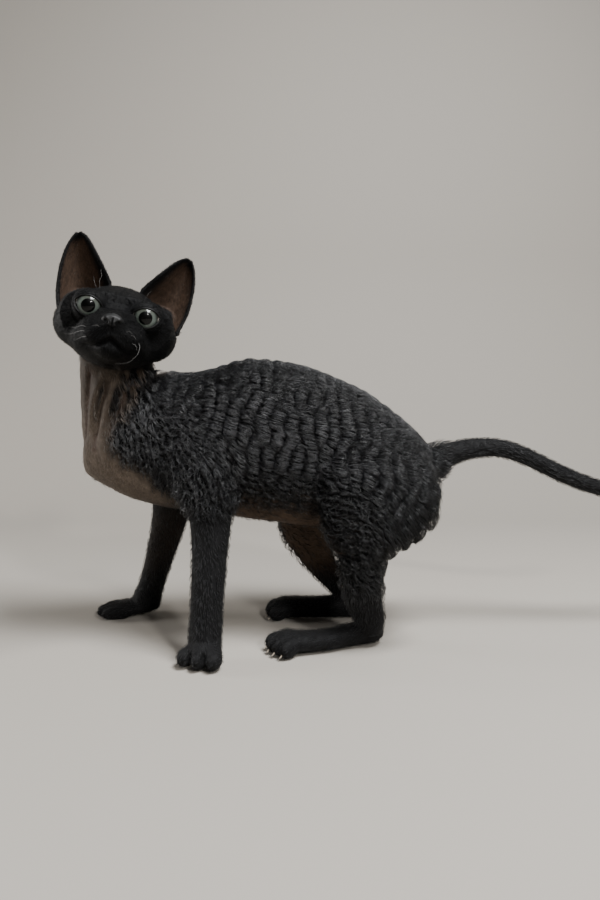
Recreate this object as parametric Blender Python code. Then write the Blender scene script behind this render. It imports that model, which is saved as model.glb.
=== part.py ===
"""A devon rex kitten at life size, standing with its head turned to one side.

Body sizes are in millimetres in the cat's own stance: it faces -X, its left
side faces -Y, and the floor is at z = 0. The head has a frame of its own:
forward, to the cat's left, and up, measured from the point between its eyes.
"""

import math

import bmesh
import bpy
import numpy as np
from mathutils import Matrix, Vector

MM = 0.001
GAP = 0.3
RING_POINTS = 28
ROWS_PER_SPAN = 4

SIDES = (("left", 1), ("right", -1))

# Driving dimensions of the animal
HEAD_ORIGIN = (-118.6, -57.7, 233.3)
HEAD_TURN = math.radians(15.8)
HEAD_LIFT = math.radians(10.9)
HEAD_ROLL = math.radians(11.6)
GLOBE_RADIUS = 10.6
GLOBE_CENTRE = (-10.0, 18.6, 3.2)

# Fineness of the fused body
BODY_VOXEL = 2.0
HEAD_VOXEL = 1.5
HEAD_FORM_FACES = 1700
HEAD_FACES = 2500
BODY_FORM_FACES = 2600
BODY_FACES = 7900

# Cross sections along X: x, centre y and z, half width and half height
TRUNK = [
    (-157, -4, 134, 6, 9),
    (-153, -4, 139, 16, 19),
    (-142, -4, 143, 26, 30),
    (-125, -3, 147, 33, 44),
    (-105, -2, 147, 36, 51),
    (-84, -1, 144, 38, 52),
    (-64, 0, 145, 39, 54),
    (-40, 1, 146, 41, 60),
    (-18, 3, 144, 43, 61),
    (0, 5, 141, 43, 61),
    (14, 6, 138.5, 42, 59),
    (30, 8, 137, 41, 54),
    (48, 10, 135, 39, 47.5),
    (64, 11, 129, 37, 42),
    (78, 12, 123, 33, 37),
    (89, 12, 119, 27, 30),
    (98, 12, 117, 18, 19),
    (101.5, 12, 116, 8, 9),
]

# Cross sections up Z: z, centre x and y, half length and half width
NECK = [
    (126, -126, -3, 26, 24),
    (146, -130, -4, 28, 25),
    (166, -132, -6, 27, 24),
    (186, -132.5, -10, 26, 24),
    (204, -131, -15, 26, 25),
    (220, -130, -20, 24, 24),
]
FORE_LEG_LEFT = [
    (172, -86, -20, 20, 12),
    (150, -78, -25, 24, 15),
    (122, -67, -31, 24, 16),
    (100, -62, -35, 18.5, 14),
    (84, -61, -37.5, 15.5, 12.5),
    (66, -61.5, -39.5, 13, 11.5),
    (46, -62.5, -41.5, 12, 11),
    (28, -63.2, -43, 11.8, 11),
    (14, -63.8, -44, 12.2, 11.5),
]
FORE_LEG_RIGHT = [
    (168, -100, 20, 20, 12),
    (146, -100, 25, 23, 15),
    (118, -100, 29, 22, 16),
    (96, -101, 32, 18, 14),
    (78, -104, 36, 15.5, 12.5),
    (60, -109.5, 41, 13, 11),
    (42, -115.5, 46, 11.8, 10.5),
    (26, -121, 50, 11.5, 10.5),
    (13, -127, 53, 12.5, 10.5),
]
THIGH_LEFT = [
    (152, 54, -16, 26, 12),
    (132, 52, -26, 39, 16),
    (112, 53, -31, 43, 17),
    (96, 52.5, -33, 41.5, 16.5),
    (84, 49, -33, 35, 15.5),
    (76, 46, -32.5, 27, 14),
    (68, 42.5, -31.5, 18.5, 13),
    (58, 41.8, -30, 16, 12),
    (46, 43, -27.5, 15.2, 11),
    (34, 45, -24, 14, 10.2),
    (22, 48.5, -18.5, 12.2, 9.5),
    (10, 50.5, -14.5, 9.5, 9),
]
THIGH_RIGHT = [
    (150, 48, 34, 28, 12),
    (132, 40, 42, 36, 16),
    (112, 28, 46, 39, 17),
    (94, 16, 48, 34, 16.5),
    (78, 5.5, 49, 25, 15),
    (64, 6, 49, 21, 13),
    (50, 12, 49, 17, 11.5),
    (36, 22, 48, 14.5, 10.5),
    (22, 35, 47, 12.5, 9.5),
    (10, 42, 47, 9.5, 9),
]

# Cross sections along a foot: x, centre y and z, half width and half height
HIND_FOOT_LEFT = [
    (60, -9, 9, 5, 5),
    (54, -10, 10, 8.5, 9.5),
    (40, -14, 9, 9.5, 9),
    (20, -21.5, 7.6, 10.5, 7.6),
    (0, -25.5, 7.6, 12, 7.6),
    (-10, -26.5, 8.2, 12.5, 8.2),
]
HIND_FOOT_RIGHT = [
    (52, 46, 9, 5, 5),
    (46, 46, 10, 8.5, 9.5),
    (30, 46, 9.6, 9.5, 9.6),
    (10, 46, 9, 10, 9),
    (-6, 46, 9, 11.5, 9),
    (-14, 46, 9, 12, 9),
]

# Points of the tail: x, y, z and radius
TAIL = [
    (86, 12, 124, 17),
    (99, 12, 128, 14.5),
    (112, 12, 134.5, 10.8),
    (126, 12, 138.6, 8.6),
    (140, 12, 140, 7.9),
    (153, 12, 139.2, 7.5),
    (168, 12.5, 134.5, 7.2),
    (184, 13, 127, 7),
    (204, 14, 117.5, 6.8),
    (227, 15, 109.3, 6.4),
    (250, 17, 104, 5.6),
    (272, 20, 102.5, 4.8),
    (292, 24, 105, 3.9),
    (306, 27, 110, 2.9),
]

# Paws: ankle, way the toes point, half width, and length beyond the ankle
PAWS = {
    "fore_left": ((-63, -46, 9.5), (-0.3, -0.95), 14.6, 14.5),
    "fore_right": ((-132, 52.5, 7.2), (-0.97, -0.22), 12.8, 29.0),
    "hind_left": ((-6, -26.5, 8.8), (-0.97, -0.22), 13.0, 13.5),
    "hind_right": ((-11, 46, 9.0), (-0.99, -0.12), 12.6, 13.0),
}
TOE_RADIUS = 6.6
TOE_PLACES = ((-0.72, -0.14), (-0.25, 0.0), (0.25, 0.0), (0.72, -0.14))
FLOOR_FLAT = 1.4

# Eyes, in the head's frame
GAZE = (0.95, 0.0, -0.31)
EYE_SLANT = math.radians(12)
EYE_ROUNDS = 16
OPENING_WIDTH = 8.5
OPENING_ABOVE = 6.7
OPENING_BELOW = 6.4
LID_THICKNESS = 1.7
LID_REACH = 1.75
LID_POINTS = 18

# Edges of the left ear from root to tip: forward, left and up
EAR_INNER_EDGE = [
    (-30, 9, 26),
    (-29.5, 14.5, 35),
    (-29, 20.5, 43),
    (-29.5, 26.5, 51),
    (-31, 33, 58.8),
    (-33, 38.2, 62.2),
]
EAR_OUTER_EDGE = [
    (-36, 41, 4),
    (-37, 44.5, 15.5),
    (-36.5, 46.2, 28),
    (-36, 46.4, 40),
    (-35, 44.8, 52),
    (-34, 41.2, 61.5),
]
EAR_CUP_DEPTH = (17, 17, 15, 12, 8, 2)
EAR_COLUMNS = 8
EAR_THICKNESS = 2.4
EAR_RIM_THICKNESS = 1.2

# Nose and mouth: forward, left and up
NOSTRIL_CENTRE = (15.2, 3.9, -13.4)
NOSTRIL_RADII = (3.2, 1.5, 1.2)
MOUTH_LINE = [
    (14, 0, -20.5),
    (12, 3.2, -22.2),
    (9.5, 6.5, -23.6),
    (4.5, 11.2, -24.2),
    (-3, 15.5, -22.6),
    (-9, 18.5, -20.6),
]
MOUTH_RADIUS = 0.85
LIP_RADIUS = 1.5
LIP_DROP = 2.1
PHILTRUM = [(17, 0, -15.2), (16, 0, -18), (14, 0, -20.5)]

# Curls: rounded clumps that lie across the way the hair runs
CURL_SEED = 11
CURL_TRIES = 9000
CURL_HALF_LENGTH = 15.5
CURL_HALF_WIDTH = 6.4
CURL_HEIGHT = 3.7
CURL_BEND = 2.4
CURL_VARIATION = 0.16
CURL_SPACING_ALONG = 21.5
CURL_SPACING_ACROSS = 10.4
CURL_STATIONS = (-0.62, 0.0, 0.62)
CURL_END = 0.55
HAIR_WAY = (0.94, 0.0, -0.34)
COAT_RISE = 3.0
ROOT_DEPTH = 2.2
THROAT_EDGE = [(88, -70), (103, -98), (121, -124), (148, -129), (175, -121), (200, -104), (214, -96)]
BELLY_EDGE = 99
THIGH_FRONT = 20
FORE_LEG_CURLS_END = 74
HIND_LEG_CURLS_END = 34
TAIL_CURLS_END = 94

# Masses of the head in its own frame: forward, left and up, then three radii
HEAD_MASSES = {
    "cranium": ((-36, 0, 6), (28, 31, 25)),
    "brow": ((-18, 0, 6), (17, 30, 15)),
    "cheek_left": ((-28, 22, -6), (21, 21.5, 19)),
    "cheek_right": ((-28, -22, -6), (21, 21.5, 19)),
    "face": ((-12, 0, -8), (16, 25, 15)),
    "muzzle": ((0, 0, -14.5), (14, 13.5, 10.5)),
    "pad_left": ((4, 7.4, -17.5), (9.5, 8.2, 7.2)),
    "pad_right": ((4, -7.4, -17.5), (9.5, 8.2, 7.2)),
    "bridge": ((2, 0, -5), (12, 6.5, 7)),
    "nose": ((12, 0, -12.4), (5, 6, 4.6)),
    "chin": ((1, 0, -25.5), (7.5, 8.5, 5.6)),
    "jaw": ((-20, 0, -20), (25, 23, 13.5)),
    "ear_root_left": ((-50, 27, 12), (9, 13, 15)),
    "ear_root_right": ((-50, -27, 12), (9, 13, 15)),
}

# Volumes that part the legs from the trunk: z, centre x and y, half length and half width
LEG_REGIONS = {
    "fore_leg_left": [
        (8, -64, -45, 34, 30),
        (40, -63, -44, 30, 27),
        (80, -61, -42, 27, 22),
        (104, -64, -42, 26, 21),
        (122, -68, -40, 22, 17),
        (134, -72, -38, 12, 10),
        (138, -73, -38, 3, 3),
    ],
    "fore_leg_right": [
        (8, -126, 53, 36, 26),
        (40, -115, 47, 30, 25),
        (78, -104, 41, 28, 22),
        (100, -101, 40, 26, 21),
        (118, -100, 38, 22, 16),
        (130, -99, 37, 12, 10),
        (134, -99, 37, 3, 3),
    ],
    "thigh_left": [
        (10, 46, -22, 32, 27),
        (40, 43, -32, 28, 25),
        (68, 44, -38, 34, 25),
        (90, 49, -41, 50, 25),
        (112, 52, -41, 54, 25),
        (132, 51, -39, 44, 20),
        (146, 51, -37, 26, 13),
        (151, 51, -36, 6, 4),
    ],
    "thigh_right": [
        (10, 38, 49, 32, 23),
        (40, 22, 51, 30, 23),
        (64, 8, 53, 32, 22),
        (90, 15, 55, 46, 23),
        (112, 28, 55, 50, 23),
        (132, 41, 53, 42, 18),
        (146, 47, 50, 25, 12),
        (151, 48, 49, 6, 4),
    ],
}

# Levels and places of the flat cuts
PAW_TOP = 17
HIND_FOOT_TOP = 20.5
BETWEEN_HIND_FEET = 18
BEHIND_FORE_PAWS = -36
KNEE_LEVEL = 64
TAIL_CUTS = {"tail_tip": 256, "tail_end": 205, "tail_middle": 152, "tail_root": 106}
NECK_CUT = ((-126, 0, 172), (-0.62, 0, 0.78))
CHEST_END = -42
BARREL_END = 9
FAR = 400

# Colours as red, green and blue
COAT_BLACK = (0.018, 0.018, 0.02)
BARE_SKIN = (0.11, 0.085, 0.075)
EAR_SKIN = (0.07, 0.035, 0.03)
EYE_GREEN = (0.32, 0.38, 0.3)


def head_matrix():
    """Place of the head's own frame in the body's, in millimetres."""
    forward = Vector((
        math.sin(HEAD_TURN) * math.cos(HEAD_LIFT),
        -math.cos(HEAD_TURN) * math.cos(HEAD_LIFT),
        math.sin(HEAD_LIFT),
    ))
    level_left = Vector((math.cos(HEAD_TURN), math.sin(HEAD_TURN), 0))
    level_up = forward.cross(level_left)
    left = math.cos(HEAD_ROLL) * level_left - math.sin(HEAD_ROLL) * level_up
    up = math.sin(HEAD_ROLL) * level_left + math.cos(HEAD_ROLL) * level_up
    matrix = Matrix((forward, left, up)).transposed().to_4x4()
    return Matrix.Translation(HEAD_ORIGIN) @ matrix


def clear_scene():
    """Remove whatever the file opened with."""
    for obj in list(bpy.data.objects):
        bpy.data.objects.remove(obj)


def material(name, colour, roughness):
    """A plain finish for one kind of surface."""
    found = bpy.data.materials.get(name)
    if found:
        return found
    made = bpy.data.materials.new(name)
    made.use_nodes = True
    shader = made.node_tree.nodes["Principled BSDF"]
    shader.inputs["Base Color"].default_value = (*colour, 1)
    shader.inputs["Roughness"].default_value = roughness
    shader.inputs["Metallic"].default_value = 0
    return made


def new_object(name, mesh):
    """Link a mesh to the scene as an object."""
    obj = bpy.data.objects.new(name, mesh)
    bpy.context.scene.collection.objects.link(obj)
    return obj


def smooth_rows(rows, steps):
    """Rows of sizes, joined by a smooth curve with some steps in each span."""
    rows = np.array(rows, float)
    padded = np.vstack([2 * rows[0] - rows[1], rows, 2 * rows[-1] - rows[-2]])
    found = []
    for index in range(1, len(padded) - 2):
        before, start, end, after = padded[index - 1:index + 3]
        for step in range(steps):
            t = step / steps
            found.append(0.5 * (
                2 * start
                + (end - before) * t
                + (2 * before - 5 * start + 4 * end - after) * t ** 2
                + (3 * start - before - 3 * end + after) * t ** 3
            ))
    found.append(rows[-1])
    return np.array(found)


def skin_rings(name, rings):
    """A closed mesh through rings of points, capped at both ends."""
    shape = bmesh.new()
    loops = [[shape.verts.new(point * MM) for point in ring] for ring in rings]
    for low, high in zip(loops, loops[1:]):
        for index in range(len(low)):
            after = (index + 1) % len(low)
            shape.faces.new((low[index], low[after], high[after], high[index]))
    shape.faces.new(loops[0])
    shape.faces.new(loops[-1])
    bmesh.ops.recalc_face_normals(shape, faces=shape.faces)
    mesh = bpy.data.meshes.new(name)
    shape.to_mesh(mesh)
    shape.free()
    return new_object(name, mesh)


def stack(name, axis, rows, steps=ROWS_PER_SPAN, points=RING_POINTS):
    """Ellipses set one after another along X or Z."""
    angles = np.linspace(0, 2 * np.pi, points, endpoint=False)
    rings = []
    for place, first, second, half_first, half_second in smooth_rows(rows, steps):
        across = first + half_first * np.cos(angles)
        along = second + half_second * np.sin(angles)
        fixed = np.full(points, place)
        columns = [fixed, across, along] if axis == "X" else [across, along, fixed]
        rings.append(np.column_stack(columns))
    return skin_rings(name, rings)


def tube(name, rows, steps=ROWS_PER_SPAN, points=RING_POINTS):
    """A round tube along x, y and z with a radius at each point."""
    rows = smooth_rows(rows, steps)
    path = rows[:, :3]
    tangents = np.gradient(path, axis=0)
    tangents /= np.linalg.norm(tangents, axis=1)[:, None]
    side = np.cross(tangents[0], (0.31, 0.92, 0.24))
    angles = np.linspace(0, 2 * np.pi, points, endpoint=False)[:, None]
    rings = []
    for centre, tangent, radius in zip(path, tangents, rows[:, 3]):
        side = side - tangent * side.dot(tangent)
        side /= np.linalg.norm(side)
        other = np.cross(tangent, side)
        rings.append(centre + radius * (np.cos(angles) * side + np.sin(angles) * other))
    return skin_rings(name, rings)


def ellipsoid(name, centre, radii, matrix=None, turn=0.0, rounds=24):
    """A closed ellipsoid, turned about Z and then placed by a matrix."""
    shape = bmesh.new()
    bmesh.ops.create_uvsphere(shape, u_segments=rounds, v_segments=rounds // 2, radius=1)
    place = Matrix.Translation(centre) @ Matrix.Rotation(turn, 4, "Z") @ Matrix.Diagonal((*radii, 1))
    if matrix:
        place = matrix @ place
    bmesh.ops.transform(shape, matrix=Matrix.Scale(MM, 4) @ place, verts=shape.verts)
    mesh = bpy.data.meshes.new(name)
    shape.to_mesh(mesh)
    shape.free()
    return new_object(name, mesh)


def box(name, centre, sizes, matrix=None):
    """A closed box, placed by a matrix."""
    shape = bmesh.new()
    bmesh.ops.create_cube(shape, size=1)
    place = Matrix.Translation(centre) @ Matrix.Diagonal((*sizes, 1))
    if matrix:
        place = matrix @ place
    bmesh.ops.transform(shape, matrix=Matrix.Scale(MM, 4) @ place, verts=shape.verts)
    mesh = bpy.data.meshes.new(name)
    shape.to_mesh(mesh)
    shape.free()
    return new_object(name, mesh)


def apply_modifiers(obj):
    """Turn an object's modifiers into its mesh."""
    bpy.context.view_layer.update()
    graph = bpy.context.evaluated_depsgraph_get()
    mesh = bpy.data.meshes.new_from_object(obj.evaluated_get(graph))
    obj.modifiers.clear()
    obj.data = mesh
    return obj


def join(name, pieces):
    """One object that holds the meshes of several."""
    shape = bmesh.new()
    for piece in pieces:
        shape.from_mesh(piece.data)
        bpy.data.objects.remove(piece)
    mesh = bpy.data.meshes.new(name)
    shape.to_mesh(mesh)
    shape.free()
    return new_object(name, mesh)


def copy_of(obj, name):
    """A second object with its own copy of the mesh."""
    return new_object(name, obj.data.copy())


def grown(obj, depth):
    """Push a mesh out along its normals."""
    swell = obj.modifiers.new("Swell", "DISPLACE")
    swell.mid_level = 0
    swell.strength = depth * MM
    return apply_modifiers(obj)


def fuse(name, pieces, voxel, rounds):
    """Melt pieces that overlap into one closed, softened surface."""
    body = join(name, pieces)
    remesh = body.modifiers.new("Fuse", "REMESH")
    remesh.mode = "VOXEL"
    remesh.voxel_size = voxel * MM
    soften = body.modifiers.new("Soften", "SMOOTH")
    soften.factor = 0.5
    soften.iterations = rounds
    return apply_modifiers(body)


def thin_out(obj, faces):
    """Reduce a mesh to about a number of triangles."""
    obj.data.calc_loop_triangles()
    reduce = obj.modifiers.new("Thin out", "DECIMATE")
    reduce.ratio = min(1.0, faces / len(obj.data.loop_triangles))
    reduce.use_collapse_triangulate = True
    return apply_modifiers(obj)


def boolean(obj, other, operation):
    """Cut, join or keep the common part with another object, which is removed."""
    cut = obj.modifiers.new(operation.title(), "BOOLEAN")
    cut.operation = operation
    cut.object = other
    apply_modifiers(obj)
    bpy.data.objects.remove(other)
    return obj


def keep_largest(obj):
    """Keep the largest closed surface of a mesh."""
    shape = bmesh.new()
    shape.from_mesh(obj.data)
    bmesh.ops.remove_doubles(shape, verts=shape.verts, dist=0.002 * MM)
    shape.faces.ensure_lookup_table()
    waiting = set(shape.faces)
    shells = []
    while waiting:
        shell = [waiting.pop()]
        for face in shell:
            for edge in face.edges:
                for near in edge.link_faces:
                    if near in waiting:
                        waiting.remove(near)
                        shell.append(near)
        shells.append(shell)
    shells.sort(key=len, reverse=True)
    scraps = [face for shell in shells[1:] for face in shell]
    bmesh.ops.delete(shape, geom=scraps, context="FACES")
    shape.to_mesh(obj.data)
    shape.free()
    return obj


def toes(name, ankle, way, half_width, length):
    """The four toes of a paw."""
    way = Vector((*way, 0)).normalized()
    side = Vector((-way.y, way.x, 0))
    turn = math.atan2(way.y, way.x)
    radius = min(TOE_RADIUS, ankle[2] * 0.76)
    radii = (length * 0.3 + 4.5, half_width * 0.33, radius)
    pieces = []
    for index, (sideways, back) in enumerate(TOE_PLACES):
        place = Vector(ankle) + way * (length * (0.72 + back)) + side * (half_width * sideways)
        place.z = radius
        spread = turn + 0.12 * sideways
        pieces.append(ellipsoid(name + "_toe_%d" % index, place, radii, turn=spread))
    return pieces


def ball_of_paw(name, ankle, way, half_width, length):
    """The round part of a paw behind its toes."""
    way = Vector((*way, 0)).normalized()
    centre = Vector(ankle) + way * (length * 0.25)
    radii = (length * 0.85, half_width * 0.95, ankle[2] * 0.97)
    return ellipsoid(name + "_ball", centre, radii, turn=math.atan2(way.y, way.x))


def body_form():
    """Trunk, neck, legs and tail as one closed surface."""
    pieces = [
        stack("trunk", "X", TRUNK),
        stack("neck", "Z", NECK),
        stack("fore_leg_left", "Z", FORE_LEG_LEFT),
        stack("fore_leg_right", "Z", FORE_LEG_RIGHT),
        stack("thigh_left", "Z", THIGH_LEFT),
        stack("thigh_right", "Z", THIGH_RIGHT),
        stack("hind_foot_left", "X", HIND_FOOT_LEFT),
        stack("hind_foot_right", "X", HIND_FOOT_RIGHT),
        tube("tail", TAIL),
    ]
    for name, sizes in PAWS.items():
        pieces += toes(name, *sizes)
        pieces.append(ball_of_paw(name, *sizes))
    return fuse("body", pieces, BODY_VOXEL, 5)


def head_form():
    """Skull, cheeks, muzzle and jaw as one closed surface."""
    matrix = head_matrix()
    pieces = [
        ellipsoid(name, centre, radii, matrix)
        for name, (centre, radii) in HEAD_MASSES.items()
    ]
    return fuse("head", pieces, HEAD_VOXEL, 6)


def facing(direction, upward=(0, 0, 1)):
    """A turn whose X axis runs along a direction and whose Z axis is near upward."""
    forward = Vector(direction).normalized()
    side = Vector(upward).cross(forward).normalized()
    return Matrix((forward, side, forward.cross(side))).transposed().to_4x4()


def eye_matrix(sign):
    """Place of one eye: X along its gaze, Y to the cat's left, Z up."""
    forward, left, up = GLOBE_CENTRE
    place = Matrix.Translation((forward, sign * left, up))
    slant = Matrix.Rotation(sign * EYE_SLANT, 4, "X")
    return head_matrix() @ place @ facing(GAZE) @ slant


def globe(name, sign, radius):
    """The ball of one eye."""
    return ellipsoid(name, (0, 0, 0), (radius,) * 3, eye_matrix(sign), rounds=EYE_ROUNDS)


def opening_edge(angle, reach):
    """Sideways and upward place on the almond of the lids, or further out."""
    sideways = math.cos(angle)
    upward = math.sin(angle) * abs(math.sin(angle)) ** 0.25
    height = OPENING_ABOVE if upward > 0 else OPENING_BELOW
    return reach * OPENING_WIDTH * sideways, reach * height * upward


def lids(name, sign):
    """Both lids of one eye: a band round the opening that lies on the ball."""
    matrix = eye_matrix(sign)
    clear = GLOBE_RADIUS + GAP
    profile = [
        (1.0, clear),
        (1.0, clear + LID_THICKNESS * 0.7),
        (1.12, clear + LID_THICKNESS),
        (1.4, clear + LID_THICKNESS * 0.8),
        (LID_REACH, clear - 1.5),
        (1.2, clear - 0.5),
    ]
    rings = []
    for step in range(LID_POINTS):
        angle = 2 * math.pi * step / LID_POINTS
        ring = []
        for reach, radius in profile:
            sideways, upward = opening_edge(angle, reach)
            forward = math.sqrt(max(GLOBE_RADIUS ** 2 - sideways ** 2 - upward ** 2, 4.0))
            way = Vector((forward, sideways, upward)).normalized()
            ring.append(matrix @ (way * radius))
        rings.append(ring)
    return skin_loop(name, rings)


def skin_loop(name, rings):
    """A closed ring-shaped mesh through rings of points."""
    shape = bmesh.new()
    loops = [[shape.verts.new(point * MM) for point in ring] for ring in rings]
    for low, high in zip(loops, loops[1:] + loops[:1]):
        for index in range(len(low)):
            after = (index + 1) % len(low)
            shape.faces.new((low[index], low[after], high[after], high[index]))
    bmesh.ops.triangulate(shape, faces=shape.faces)
    bmesh.ops.recalc_face_normals(shape, faces=shape.faces)
    mesh = bpy.data.meshes.new(name)
    shape.to_mesh(mesh)
    shape.free()
    return new_object(name, mesh)


def on_surface(obj, points, lift):
    """Points of the head's frame set on the surface of an object, then lifted off it."""
    matrix = head_matrix()
    found = []
    for point in points:
        hit, place, normal, _ = obj.closest_point_on_mesh(matrix @ Vector(point) * MM)
        found.append(place / MM + normal * lift)
    return found


def mirrored(points):
    """The same points on the cat's right side."""
    return [(forward, -left, up) for forward, left, up in points]


def whole_mouth():
    """The mouth's line from its right corner to its left one."""
    return mirrored(MOUTH_LINE)[:0:-1] + MOUTH_LINE


def line_tube(name, head, points, lift, radius):
    """A thin tube that follows the head's surface through some points."""
    path = on_surface(head, [tuple(row) for row in smooth_rows(points, 2)], lift)
    taper = [1 - 0.45 * abs(2 * index / (len(path) - 1) - 1) ** 3 for index in range(len(path))]
    rows = [(*point, radius * size) for point, size in zip(path, taper)]
    return tube(name, rows, steps=1, points=6)


def ear(name, sign):
    """One cupped ear, thick at its root and thin at its rim."""
    inner = smooth_rows(EAR_INNER_EDGE, 2)
    outer = smooth_rows(EAR_OUTER_EDGE, 2)
    depth = smooth_rows([(value,) for value in EAR_CUP_DEPTH], 2)[:, 0]
    across = np.linspace(0, 1, EAR_COLUMNS)[None, :, None]
    grid = inner[:, None] * (1 - across) + outer[:, None] * across
    bulge = 4 * across[..., 0] * (1 - across[..., 0])
    grid[..., 0] -= depth[:, None] * bulge
    rows_way = np.gradient(grid, axis=0)
    columns_way = np.gradient(grid, axis=1)
    normals = np.cross(rows_way, columns_way)
    normals /= np.linalg.norm(normals, axis=2)[..., None]
    rim = np.minimum(1, 2.2 * np.minimum(across[..., 0], 1 - across[..., 0]) + 0.12)
    height = np.linspace(1, 0, len(inner))[:, None] ** 0.6
    half = 0.5 * (EAR_RIM_THICKNESS + (EAR_THICKNESS - EAR_RIM_THICKNESS) * rim * height)
    mirror = np.array([1, sign, 1])
    matrix = head_matrix()
    front = (grid + normals * half[..., None]) * mirror
    back = (grid - normals * half[..., None]) * mirror
    rings = [list(a) + list(b[::-1]) for a, b in zip(front, back)]
    return skin_rings(name, [[matrix @ Vector(point) for point in ring] for ring in rings])


def cut_nostrils(head):
    """Sink both nostrils, which run outward from the tip of the nose."""
    forward, left, up = NOSTRIL_CENTRE
    for sign in (1, -1):
        place = head_matrix() @ Matrix.Translation((forward, sign * left, up))
        turn = Matrix.Rotation(sign * 0.5, 4, "Z")
        boolean(head, ellipsoid("nostril", (0, 0, 0), NOSTRIL_RADII, place @ turn, rounds=10), "DIFFERENCE")


def cut_mouth(head):
    """Raise the lower lip, then sink the line of the mouth and the groove under the nose."""
    lip = [(forward - 1.2, left, up - LIP_DROP) for forward, left, up in whole_mouth()]
    ridge = line_tube("lip", head, lip, -0.5, LIP_RADIUS)
    line = line_tube("mouth", head, whole_mouth(), 0.25, MOUTH_RADIUS)
    groove = line_tube("philtrum", head, PHILTRUM, 0.25, MOUTH_RADIUS * 0.8)
    boolean(head, ridge, "UNION")
    boolean(head, line, "DIFFERENCE")
    boolean(head, groove, "DIFFERENCE")


def make_head():
    """The head with its lids, sockets, nostrils and mouth."""
    head = thin_out(head_form(), HEAD_FORM_FACES)
    cut_mouth(head)
    cut_nostrils(head)
    for name, sign in SIDES:
        boolean(head, lids("lids_" + name, sign), "UNION")
    thin_out(keep_largest(head), HEAD_FACES)
    for name, sign in SIDES:
        boolean(head, globe("socket_" + name, sign, GLOBE_RADIUS + GAP), "DIFFERENCE")
    return keep_largest(head)


def clear_of(obj, other):
    """Cut an object clear of another, which stays."""
    cutter = grown(copy_of(other, "cutter"), GAP)
    return keep_largest(boolean(obj, cutter, "DIFFERENCE"))


def slab(low, high):
    """A box between two corners that can be grown."""
    centre = [(a + b) / 2 for a, b in zip(low, high)]
    sizes = [b - a for a, b in zip(low, high)]
    return lambda extra: box("region", centre, [size + 2 * extra for size in sizes])


def beyond(point, normal):
    """All that lies past a plane, as a large box that can be grown."""
    turn = Matrix.Translation(point) @ facing(normal)
    return lambda extra: box("region", (FAR / 2, 0, 0), [FAR + 2 * extra, FAR, FAR], turn)


def leg_region(rows):
    """The volume round one leg, that can be grown."""
    def made(extra):
        wider = [(z + extra * (z > 100), x, y, a + extra, b + extra) for z, x, y, a, b in rows]
        return stack("region", "Z", wider, steps=1, points=16)
    return made


def part_off(rest, name, region):
    """Take the part of a body inside a region off as its own piece."""
    piece = copy_of(rest, name)
    boolean(piece, region(0), "INTERSECT")
    boolean(rest, region(GAP), "DIFFERENCE")
    return keep_largest(piece)


def part_body(body):
    """Part the body into the pieces that a person would name."""
    pieces = []
    for name, x in TAIL_CUTS.items():
        pieces.append(part_off(body, name, slab((x, -FAR, -FAR), (FAR * 2, FAR, FAR))))
    feet = {
        "fore_paw_left": ((-FAR, -FAR, -FAR), (BEHIND_FORE_PAWS, 0, PAW_TOP)),
        "fore_paw_right": ((-FAR, 0, -FAR), (BEHIND_FORE_PAWS, FAR, PAW_TOP)),
        "hind_foot_left": ((BEHIND_FORE_PAWS, -FAR, -FAR), (FAR, BETWEEN_HIND_FEET, HIND_FOOT_TOP)),
        "hind_foot_right": ((BEHIND_FORE_PAWS, BETWEEN_HIND_FEET, -FAR), (FAR, FAR, HIND_FOOT_TOP)),
    }
    for name, (low, high) in feet.items():
        pieces.append(part_off(body, name, slab(low, high)))
    for name, rows in LEG_REGIONS.items():
        leg = part_off(body, name, leg_region(rows))
        if name.startswith("thigh"):
            shank = slab((-FAR, -FAR, -FAR), (FAR, FAR, KNEE_LEVEL))
            pieces.append(part_off(leg, name.replace("thigh", "shank"), shank))
            keep_largest(leg)
        pieces.append(leg)
    pieces.append(part_off(body, "neck", beyond(*NECK_CUT)))
    pieces.append(part_off(body, "chest", slab((-FAR, -FAR, -FAR), (CHEST_END, FAR, FAR))))
    pieces.append(part_off(body, "barrel", slab((-FAR, -FAR, -FAR), (BARREL_END, FAR, FAR))))
    body.name = "rump"
    pieces.append(keep_largest(body))
    return pieces


def is_curly(point, normal):
    """Whether the coat is long enough to curl at a place on the body."""
    x, y, z = point
    heights, edges = zip(*THROAT_EDGE)
    if x < np.interp(z, heights, edges) or x > TAIL_CURLS_END:
        return False
    if z > BELLY_EDGE:
        return normal[2] > (-0.3 if x < THIGH_FRONT else -0.75)
    outward = normal[1] if y > BETWEEN_HIND_FEET * 0.4 else -normal[1]
    end = FORE_LEG_CURLS_END if x < CHEST_END else HIND_LEG_CURLS_END
    behind = x > 0 and normal[0] > 0.3
    return z > end and (outward > 0.25 or behind)


def sink_core(body):
    """Draw the body in where curls will stand on it."""
    group = body.vertex_groups.new(name="curly")
    for vertex in body.data.vertices:
        if is_curly(vertex.co / MM, vertex.normal):
            group.add([vertex.index], 1.0, "REPLACE")
    sink = body.modifiers.new("Sink", "DISPLACE")
    sink.mid_level = 0
    sink.strength = -COAT_RISE * MM
    sink.vertex_group = group.name
    soften = body.modifiers.new("Soften", "SMOOTH")
    soften.factor = 0.5
    soften.iterations = 4
    return apply_modifiers(body)


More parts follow.
